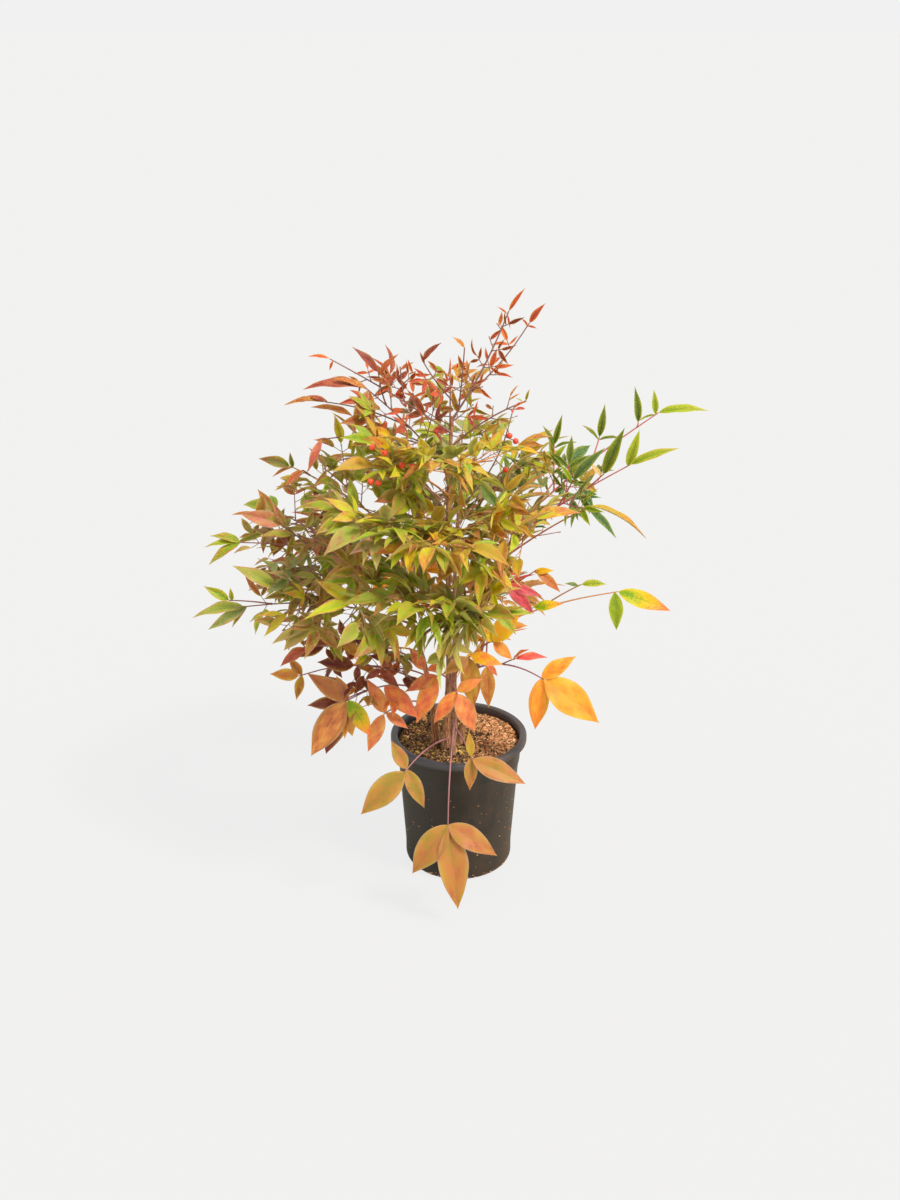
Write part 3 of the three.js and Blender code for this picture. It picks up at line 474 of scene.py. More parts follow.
class MeshDraft:
    """Points, faces and finishes, gathered in millimetres, that become one piece."""

    SHARP = 62  # degrees between faces from which an edge stays sharp

    def __init__(self) -> None:
        """Starts empty."""
        self.points: list[np.ndarray] = []
        self.faces: list[Face] = []
        self.slots: list[int] = []
        self.finishes: list[Finish] = []
        self.count = 0

    def slot(self, finish: Finish) -> int:
        """The number of a finish among those of this piece."""
        if finish not in self.finishes:
            self.finishes.append(finish)
        return self.finishes.index(finish)

    def add(self, points: np.ndarray, faces: Sequence[Face], slots: int | Sequence[int]) -> None:
        """Adds a body.

        Args:
            points: Its points, in millimetres.
            faces: Its faces, as numbers of its own points.
            slots: The slot of every face, or one for all.
        """
        start = self.count
        self.points.append(np.asarray(points, float))
        self.count += len(points)
        self.faces.extend(tuple(start + i for i in face) for face in faces)
        self.slots.extend([slots] * len(faces) if isinstance(slots, int) else slots)

    def add_rings(self, points: Sequence[Vector], slot: int, sides: int) -> None:
        """Adds a closed body through rings of points.

        Args:
            points: The points, ring by ring from its foot.
            slot: Its slot.
            sides: How many points a ring has.
        """
        last = len(points) - sides
        starts = [(start + k, start + (k + 1) % sides) for start in range(0, last, sides) for k in range(sides)]
        faces = [(here, after, after + sides, here + sides) for here, after in starts]
        self.add(np.array(points), [*faces, tuple(reversed(range(sides))), tuple(range(last, last + sides))], slot)

    def add_tube(self, line: Sequence[Vector], radii: Sequence[float], slot: int, sides: int = 6) -> None:
        """Adds a round tube with closed ends.

        Args:
            line: The points that it follows.
            radii: Its radius at each of them.
            slot: Its slot.
            sides: How many sides it has.
        """
        line = [Vector(point) for point in line]
        side = None
        rings = []
        for i, (point, radius) in enumerate(zip(line, radii)):
            along = (line[min(i + 1, len(line) - 1)] - line[max(i - 1, 0)]).normalized()
            if side is None:
                side = along.orthogonal().normalized()
            side = (side - along * side.dot(along)).normalized()
            across = along.cross(side)
            for k in range(sides):
                angle = 2 * pi * k / sides
                rings.append(point + side * (cos(angle) * radius) + across * (sin(angle) * radius))
        self.add_rings(rings, slot, sides)

    def add_lathe(self, profile: Sequence[Span], sides: int, slot: int, oval: float = 0.0) -> None:
        """Adds a solid of revolution about Z.

        Args:
            profile: Radius and height of its points, from axis to axis.
            sides: How many sides it has.
            slot: Its slot.
            oval: How far it is from round, as a share of its radius.
        """
        angles = np.arange(sides) * 2 * pi / sides
        inner = profile[1:-1]
        rings = [
            np.stack([r * (1 + oval * np.cos(2 * angles)) * np.cos(angles), r * np.sin(angles), angles * 0 + z], 1)
            for r, z in inner
        ]
        points = np.concatenate([*rings, [[0, 0, profile[0][1]], [0, 0, profile[-1][1]]]])
        foot, top = len(points) - 2, len(points) - 1
        faces = []
        for k in range(sides):
            after = (k + 1) % sides
            faces.append((foot, after, k))
            faces.append((top, (len(inner) - 1) * sides + k, (len(inner) - 1) * sides + after))
            for a in range(len(inner) - 1):
                faces.append((a * sides + k, a * sides + after, (a + 1) * sides + after, (a + 1) * sides + k))
        self.add(points, faces, slot)

    def piece(self, name: str, slot: str, replaces: Sequence[str] = ()) -> bpy.types.Object:
        """Makes the piece, which rides on the plant's one body.

        Args:
            name: Its name.
            slot: Not used.
            replaces: The solids that it stands for.

        Returns:
            The new object.
        """
        mesh = bpy.data.meshes.new(name)
        mesh.from_pydata((np.concatenate(self.points) * MM).tolist(), [], self.faces)
        for finish in self.finishes:
            mesh.materials.append(finish.material())
        mesh.polygons.foreach_set("material_index", self.slots)
        mesh.polygons.foreach_set("use_smooth", [True] * len(self.faces))
        mesh.set_sharp_from_angle(angle=radians(self.SHARP))
        mesh.validate()
        made = placed(name, mesh)
        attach(made, "root")
        if replaces:
            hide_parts(*replaces)
        log.info("%s: %d faces", name, len(self.faces))
        return made


# ---- Chance and directions ----


class Chance:
    """Numbers from 0 to 1 that are the same on every run: the row of a linear congruential generator."""

    SPREAD, OFFSET = 7919, 17
    FACTOR, STEP, SPAN = 1664525, 1013904223, 2**32

    def __init__(self, seed: int) -> None:
        """Starts the row that a seed gives."""
        self.state = seed * self.SPREAD + self.OFFSET

    def __call__(self) -> float:
        """The next number."""
        self.state = (self.state * self.FACTOR + self.STEP) % self.SPAN
        return self.state / self.SPAN

    def between(self, low: float, high: float) -> float:
        """A number between two others."""
        return low + (high - low) * self()

    def pick(self, choices: Sequence[Choice]) -> Choice:
        """One of some choices."""
        return choices[int(self() * len(choices))]


def towards(heading: float, climb: float) -> Vector:
    """A unit vector with this heading and climb, in degrees."""
    h, c = radians(heading), radians(climb)
    return Vector((cos(c) * cos(h), cos(c) * sin(h), sin(c)))


@dataclass(frozen=True)
class Bearing:
    """Directions along a line, to its left, and up from it."""

    along: Vector
    left: Vector
    up: Vector

    @classmethod
    def of(cls, along: Vector, reference: Vector = UP) -> "Bearing":
        """The bearing of a line whose up side is nearest to a reference."""
        left = reference.cross(along).normalized()
        return cls(along.copy(), left, along.cross(left).normalized())

    def rolled(self, angle: float) -> "Bearing":
        """The bearing turned about its own line."""
        turned = self.left * cos(angle) + self.up * sin(angle)
        return Bearing(self.along, turned, self.along.cross(turned))

    def to_left(self, turn: float) -> Vector:
        """A direction that is turned to the left of the line."""
        return self.along * cos(turn) + self.left * sin(turn)


# ---- The pot and what is in it ----


@dataclass
class NurseryPot:
    """A round black pot, moulded in one piece."""

    height: float = 172
    rim_radius: float = 82.5
    lip_height: float = 8.5
    shoulder_radius: float = 76
    heel_radius: float = 65.5
    foot_radius: float = 58
    heel_height: float = 9
    band_drop: float = 32
    band_step: float = 1.2
    wall_from: float = 24  # the height at which the straight part of the wall begins
    oval: float = 0.004
    wall: float = 2
    floor: float = 3
    sides: int = 128
    lip_roundness: float = 2.2

    def wall_radius(self, height: float) -> float:
        """The outer radius of the wall at a height, under the lip."""
        share = (height - self.heel_height) / (self.height - self.lip_height - self.heel_height)
        return self.heel_radius + (self.shoulder_radius - self.heel_radius) * share

    @property
    def recess(self) -> float:
        """How far the wall lies back under its band."""
        return self.band_step * 0.9

    def heel(self) -> list[Span]:
        """The rounded bottom edge, a quarter ellipse."""
        reach = self.heel_radius - self.foot_radius
        turns = [pi / 2 * k / 6 for k in range(7)]
        return [(self.foot_radius + reach * sin(t), self.heel_height * (1 - cos(t))) for t in turns]

    def lip(self) -> list[Span]:
        """The rolled lip, its corners rounded."""
        low, r = self.height - self.lip_height, self.lip_roundness
        turns = [pi / 2 * k / 4 for k in range(5)]
        under = [(self.rim_radius - r + r * sin(t), low + r - r * cos(t)) for t in turns]
        over = [(self.rim_radius - r + r * cos(t), self.height - r + r * sin(t)) for t in turns]
        inner = self.shoulder_radius - self.wall
        inside = [(inner + r - r * sin(t), self.height - r + r * cos(t)) for t in turns]
        return [(self.shoulder_radius, low), *under, *over, *inside]

    def profile(self) -> list[Span]:
        """Radius and height, from the middle of the underside to the middle of the floor."""
        band = self.height - self.band_drop
        wall = [(self.wall_radius(z) - self.recess, z) for z in np.linspace(self.wall_from, band - 3, 8)]
        step = [(self.wall_radius(band) - 0.2, band - self.band_step), (self.wall_radius(band), band)]
        inside = [(self.heel_radius - self.wall, self.heel_height + 2), (self.foot_radius - self.wall, self.floor)]
        foot = [(0, 0), (self.foot_radius - 2, 0)]
        return [*foot, *self.heel(), *wall, *step, *self.lip(), *inside, (0, self.floor)]

    def build(self) -> None:
        """Makes the pot in place of its solid."""
        draft = MeshDraft()
        draft.add_lathe(self.profile(), self.sides, draft.slot(MouldedPolypropylene()), self.oval)
        draft.piece("nursery_pot", "pot", ["pot"])


@dataclass
class PottingMix:
    """Milled bark with loose chips and fibres on top, and grains that stick to the pot."""

    pot: NurseryPot
    drop: float = 6
    edge_drop: float = 3
    rings: int = 34
    sectors: int = 96
    crown_radius: float = 52  # from which the top falls towards the wall
    relief: float = 1.6
    lump_mm: float = 17
    settled: float = 0.4
    chips: int = 7000
    chip_seed: int = 501
    small: Span = (1.1, 2.6)
    large: Span = (2.6, 6.0)
    small_share: float = 0.93
    slender: Span = (0.3, 0.75)  # a chip's width, of its length
    bright_from: float = 4  # how far to the right of the pot's axis the pale chips begin, which paint the sunlit side
    bright_blend: float = 30  # how far it is from there to where nearly all of them are pale
    bright_stray: float = 14  # how far that border wanders
    bright_wave: float = 22  # over what length
    # the least share of pale chips in the painted shade, and of dark ones on the painted sunlit side
    least_mixed: float = 0.1
    stuck: int = 260
    grain_seed: int = 502
    grain: Span = (0.7, 1.9)
    low_share: float = 0.75
    low_grains: tuple[Span, ...] = ((1.5, 16), (-60, 90))  # heights, and degrees to the right
    high_grains: tuple[Span, ...] = ((16, 120), (-70, 75))

    # Pale dry chips, dealt on the right to paint the sunlit side, and dark damp ones, dealt elsewhere to paint the
    # shade that the leaves cast
    DRY = ("f0c090", "e2a878", "d69a68", "bc7e50", "e8b482", "9c6640")
    DAMP = ("2c2018", "46301f", "5e4228", "7c5c44", "8e7248", "bfa050")

    @property
    def top(self) -> float:
        """The height of the mix round the canes."""
        return self.pot.height - self.drop

    @property
    def radius(self) -> float:
        """The mix's radius at its top."""
        return self.pot.wall_radius(self.top) - self.pot.wall - self.pot.band_step

    def height_at(self, x: float, y: float) -> float:
        """The height of the mix at a place, in millimetres."""
        edge = max(0.0, hypot(x, y) - self.crown_radius) / (self.radius - self.crown_radius)
        lumps = noise.fractal(Vector((x, y, 3)) / self.lump_mm, 1.0, 2.0, 4)
        return self.top - self.edge_drop * edge + self.relief * lumps - self.settled

    def surface(self) -> MeshDraft:
        """The crumbly top with its body down to the pot's floor."""
        draft = MeshDraft()
        pot = self.pot
        floor, heel = pot.floor + 0.3, pot.heel_height + 2
        inside = pot.wall_radius(heel) - pot.wall - pot.band_step
        body = [(0, floor), (pot.foot_radius - pot.wall - 1, floor), (inside, heel)]
        top = [(self.radius * (1 - i / self.rings), self.top) for i in range(self.rings)]
        draft.add_lathe([*body, *top, (0, self.top)], self.sectors, draft.slot(MilledBark()))
        for points in draft.points:
            for point in points:
                if point[2] >= self.top - 0.01:
                    point[2] = self.height_at(point[0], point[1])
        return draft

    def chip(self, chance: Chance, centre: Vector, size: float, slender: float) -> tuple[np.ndarray, list[Face]]:
        """A chip with eight uneven corners.

        Args:
            chance: What makes it uneven.
            centre: Its middle.
            size: Its length.
            slender: Its width, of its length.

        Returns:
            Its points and its faces.
        """
        turn, tilt = chance() * 2 * pi, chance.between(-0.5, 0.5)
        along = Vector((cos(turn) * cos(tilt), sin(turn) * cos(tilt), sin(tilt)))
        bearing = Bearing.of(along)
        points = []
        for k in range(8):
            x, y, z = (1 if k & 1 else -1), (1 if k & 2 else -1), (1 if k & 4 else -1)
            jitter = [chance.between(0.6, 1.1) for _ in range(3)]
            points.append(
                centre
                + bearing.along * (x * size / 2 * jitter[0])
                + bearing.left * (y * size / 2 * slender * jitter[1])
                + bearing.up * (z * size / 2 * slender * 0.7 * jitter[2])
            )
        faces = [(0, 2, 3, 1), (4, 5, 7, 6), (0, 1, 5, 4), (2, 6, 7, 3), (0, 4, 6, 2), (1, 3, 7, 5)]
        return np.array(points), faces

    def chip_at(self, chance: Chance, x: float, y: float) -> Chip:
        """Deals a chip its colour: pale and dry on the right, where it also paints sunlight, and elsewhere dark and
        damp or yellow fibre, which also paints the shade that the leaves cast.

        Args:
            chance: What deals it.
            x: How far to the right of the pot's axis it lies.
            y: How far behind it.

        Returns:
            Its finish.
        """
        stray = self.bright_stray * noise.noise(Vector((x, y, 9)) / self.bright_wave)
        # the share of pale chips, which paint sunlight on the right; the dark rest paint the leaves' shade
        dry = (x - self.bright_from + stray) / self.bright_blend
        is_dry_and_lit = chance() < min(max(dry, self.least_mixed), 1 - self.least_mixed)
        return Chip(chance.pick(self.DRY if is_dry_and_lit else self.DAMP))

    def loose_chips(self) -> MeshDraft:
        """Chips all over the top."""
        draft = MeshDraft()
        chance = Chance(self.chip_seed)
        for _ in range(self.chips):
            reach, turn = (self.radius - 2) * sqrt(chance()), chance() * 2 * pi
            x, y = reach * cos(turn), reach * sin(turn)
            size = chance.between(*(self.small if chance() < self.small_share else self.large))
            slender = chance.between(*self.slender)
            centre = Vector((x, y, self.height_at(x, y) + size * slender * 0.22))
            points, faces = self.chip(chance, centre, size, slender)
            draft.add(points, faces, draft.slot(self.chip_at(chance, x, y)))
        return draft

    def stuck_grains(self) -> MeshDraft:
        """Grains on the outside of the pot, most of them low on the right."""
        draft = MeshDraft()
        chance = Chance(self.grain_seed)
        pot = self.pot
        for _ in range(self.stuck):
            heights, turns = self.low_grains if chance() < self.low_share else self.high_grains
            z = chance.between(*heights)
            turn = radians(-90 + chance.between(*turns))
            radius = pot.wall_radius(max(z, pot.heel_height)) - pot.recess
            if z < pot.heel_height:
                drop = 1 - z / pot.heel_height
                radius = pot.foot_radius + (pot.heel_radius - pot.foot_radius) * sqrt(1 - drop * drop)
            size = chance.between(*self.grain)
            centre = Vector((radius * cos(turn), radius * sin(turn), z))
            points, faces = self.chip(chance, centre, size, 0.7)
            draft.add(points, faces, draft.slot(Chip(chance.pick(self.DRY))))
        return draft

    def build(self) -> None:
        """Makes the mix in place of its solid, then its chips and stuck grains."""
        self.surface().piece("potting_mix", "soil", ["soil"])
        self.loose_chips().piece("bark_chips", "soil")
        self.stuck_grains().piece("stuck_grains", "soil")


# ---- Canes ----


@dataclass(frozen=True)
class Cane:
    """A cane that rises from its foot to its top, which is moved sideways by lean."""

    foot: Span
    lean: Span
    top: float
    radius: float
    tip_radius: float
    base: float = 166.3  # the height of its foot
    bow: float = 5
    flare: float = 1.5
    flare_height: float = 0.1

    def point(self, share: float) -> Vector:
        """A point on its centre line, from 0 at its foot to 1 at its top."""
        swing = share**1.2
        sway = sin(share * pi * 2) * self.bow
        x = self.foot[0] + self.lean[0] * swing + sway * 0.5
        y = self.foot[1] + self.lean[1] * swing + sway
        return Vector((x, y, self.base + (self.top - self.base) * share))

    def at_height(self, height: float) -> Vector:
        """A point on its centre line at a height."""
        return self.point((height - self.base) / (self.top - self.base))

    def radius_at(self, share: float) -> float:
        """Its radius: a flared foot, then a steady taper."""
        flare = 1 + (self.flare - 1) * max(0.0, 1 - share / self.flare_height)
        return (self.radius + (self.tip_radius - self.radius) * share) * flare


CANES = {
    "tall": Cane((-16, -27), (8, 34), 566, 4.2, 1.9),
    "left": Cane((-28, -14), (-49, 4), 442, 3.8, 1.9),
    "right": Cane((1, -13), (66, 12), 446, 3.7, 1.9),
    "front": Cane((-8, -44), (6, -24), 366, 3.2, 1.9),
    "back": Cane((-10, 10), (12, 66), 456, 3.7, 1.9),
    "low": Cane((-28, 8), (-46, 56), 372, 3.4, 1.9),
}


@dataclass
class Bark:
    """The canes' relief: sleeves left by old leaf stalks, one over the other, split into fibres."""

    sides: int = 28
    ring_mm: float = 2.6  # from one ring to the next
    sleeve: float = 27  # the length of a sleeve
    sleeve_step: float = 0.16  # how far a sleeve's top stands out, of the radius
    sleeve_end: float = 0.06  # the last part of a sleeve, on which it falls back
    wander: float = 5  # how uneven the sleeves' ends are, in mm
    fibre: float = 0.07  # the depth of the fibres, of the radius
    fibre_mm: float = 42  # their length
    core: float = 0.93  # the radius under the bark, of the cane's
    sink: float = 5  # how deep a foot stands in the potting mix

    def relief(self, height: float, turn: float, seed: float) -> float:
        """How far the bark stands out at a place.

        Args:
            height: The height of the place over the cane's foot.
            turn: The way round the cane to it, in radians.
            seed: What makes this cane's bark its own.

        Returns:
            A share of the radius.
        """
        wander = self.wander * noise.noise(Vector((cos(turn), sin(turn), seed)) * 1.7)
        along = ((height + wander + seed * 11) / self.sleeve) % 1.0
        step = along**2 if along < 1 - self.sleeve_end else (1 - along) / self.sleeve_end
        ribs = Vector((cos(turn) * 5, sin(turn) * 5, height / self.fibre_mm + seed))
        return self.sleeve_step * step + self.fibre * noise.fractal(ribs, 0.8, 2.0, 3)

    def cane(self, name: str, cane: Cane, seed: float) -> None:
        """Makes one cane in place of its solid.

        Args:
            name: Its name.
            cane: Its line and radius.
            seed: What makes its bark its own.
        """
        draft = MeshDraft()
        rise = cane.top - cane.base
        count = int(rise / self.ring_mm)
        points = []
        for i in range(count + 1):
            share = i / count
            centre, radius = cane.point(share), cane.radius_at(share)
            if i == 0:
                centre = centre - UP * self.sink
            for k in range(self.sides):
                turn = 2 * pi * k / self.sides
                reach = radius * (self.core + self.relief(share * rise, turn, seed) * (1 - 0.5 * share))
                points.append(centre + Vector((cos(turn) * reach, sin(turn) * reach, 0)))
        draft.add_rings(points, draft.slot(CaneBark()), self.sides)
        draft.piece(f"{name}_bark", "cane", [name])

    def build(self) -> None:
        """Makes all the canes."""
        for i, (name, cane) in enumerate(CANES.items()):
            self.cane(f"cane_{name}", cane, i + 1.0)


# ---- Fronds: the source's rule ----


@dataclass(frozen=True)
class Limb:
    """A stalk that arches from its cane, or from a thicker stalk, to the foot of its last three leaflets.

    It leaves at height `at`, or for an arm at that share of the thicker stalk, and its far end points `sag` degrees
    lower than its start. It has pairs of side stalks, `side` mm long, and `leaf` is the length of a middle leaflet.
    `tip` is the heading, climb and roll of its last one, `last` its length, and `beside` the same for each leaflet
    next to it, with a length. `turned` names that last spray's strips, the middle leaflet first.
    """

    at: float
    to: Triple
    sag: float
    leaf: float
    pairs: int = 0
    side: float = 0
    last: float | None = None
    tip: Triple | None = None
    beside: tuple[tuple[float, float, float, float], ...] = ()
    turned: str = ""


@dataclass(frozen=True)
class Habit:
    """How the leaflets of a frond grow: their width, of their length, and ranges of bend, arch, fold and twist."""

    slim: float = 0.34
    bend: Span = (0.06, 0.3)  # how far the tip hangs, of the length
    arch: Span = (0.0, 0.3)  # how far the middle rises, of the length, times four
    fold: Span = (0.2, 0.8)  # how far the edges rise above the midrib, of the half width
    twist: float = 0.5  # radians, each way
    stray: float = 0.32  # how much widths differ


CROWN = Habit()
YOUNG = Habit(slim=0.3, bend=(-0.1, 0.34), arch=(-0.25, 0.4), fold=(0.4, 1.1), twist=0.7)
SLENDER = Habit(slim=0.26, bend=(0.05, 0.22), arch=(0.0, 0.3), fold=(0.2, 0.7), twist=0.35, stray=0.15)
BROAD = Habit(slim=0.42, bend=(0.08, 0.18), arch=(0.0, 0.2), fold=(0.08, 0.3), twist=0.2, stray=0.12)


@dataclass(frozen=True)
class Dress:
    """The colours that a frond's leaflets are dealt, spray by spray.

    A leaflet's heart lies at a share of its strip within `start`. Its tip, its edges and its patches have turned
    further, by shares of the strip too.
    """

    slot: str
    strips: str  # their names, each as often as it is dealt
    start: Span = (0.0, 0.45)
    tip: float = 0.4
    edge: float = 0.25
    patch: float = 0.3
    stalk: str = "9a7440"


class Attire(Enum):
    """What each part of the crown wears."""

    OLIVE = Dress("leaf_olive", "MIST OLIVE MEADOW OLIVE SPRING SAGE MIST BRONZE", stalk="94625a")
    GREEN = Dress("leaf_green", "MEADOW OLIVE SPRING LIME MIST MEADOW SAGE OLIVE", stalk="a8743c")
    WARM_GREEN = Dress("leaf_green", "MEADOW SPRING LIME MEADOW OLIVE SPRING LIME SAGE", (0.0, 0.5), stalk="c08440")
    DEEP_GREEN = Dress("leaf_deep_green", "FOREST FOREST SPRING", (0.0, 0.35), 0.3, 0.1, 0.2, stalk="b8605a")
    SEA_GREEN = Dress("leaf_green", "SEA FOREST MEADOW OCHRE SEA", stalk="a8604a")
    LIME = Dress("leaf_lime", "LIME SPRING MEADOW LIME OCHRE CITRON SPRING MEADOW", (0.0, 0.5), stalk="c88a48")
    CITRON = Dress("leaf_gold", "CITRON LIME SPRING MEADOW CITRON OCHRE LIME SPRING", (0.0, 0.45), stalk="c88444")
    GOLD = Dress("leaf_gold", "GOLD OCHRE LIME CITRON AMBER", (0.0, 0.6), stalk="b86850")
    AMBER = Dress("leaf_amber", "AMBER AMBER GOLD", (0.1, 0.5), 0.3, 0.15, 0.35, "9c6470")
    BRONZE = Dress("leaf_bronze", "BRONZE COPPER BRONZE MAROON FLAME MEADOW", (0.1, 0.8), 0.25, 0.15, 0.4, "7c5040")
    FLAME = Dress("leaf_flame", "FLAME COPPER FLAME MAROON", (0.1, 0.8), 0.3, 0.1, 0.4, "8c6460")
    COPPER = Dress("leaf_copper", "COPPER BRONZE OCHRE FLAME MEADOW", (0.1, 0.8), 0.3, 0.15, 0.4, "845644")
    SCARLET = Dress("leaf_scarlet", "SCARLET ROSE GOLD CORAL", (0.1, 0.7), 0.3, 0.1, 0.3, "c06860")
    PLUM = Dress("leaf_plum", "PLUM MAROON PLUM", (0.1, 0.8), 0.2, 0.1, 0.4, "a06070")
    TAN = Dress("leaf_tan", "TAN BARK_TAN TAN", (0.1, 0.6), 0.2, 0.15, 0.45, "a06a70")
    SALMON = Dress("leaf_salmon", "PEACH CORAL ORANGE", (0.1, 0.7), 0.25, 0.15, 0.4, "b86c64")
    BACK = Dress("leaf_green", "SPRING FOREST MEADOW OLIVE LIME MIST", stalk="986844")


@dataclass(frozen=True)
class Frond:
    """A compound leaf: its name, its cane, what it wears, its stalk and then its arms, and its habit.

    `finer` is how many pairs of finer twigs its stalks carry where they have no side stalks.
    """

    name: str
    cane: str
    wear: Attire
    limbs: Sequence[Limb]
    habit: Habit = CROWN
    finer: int = 0


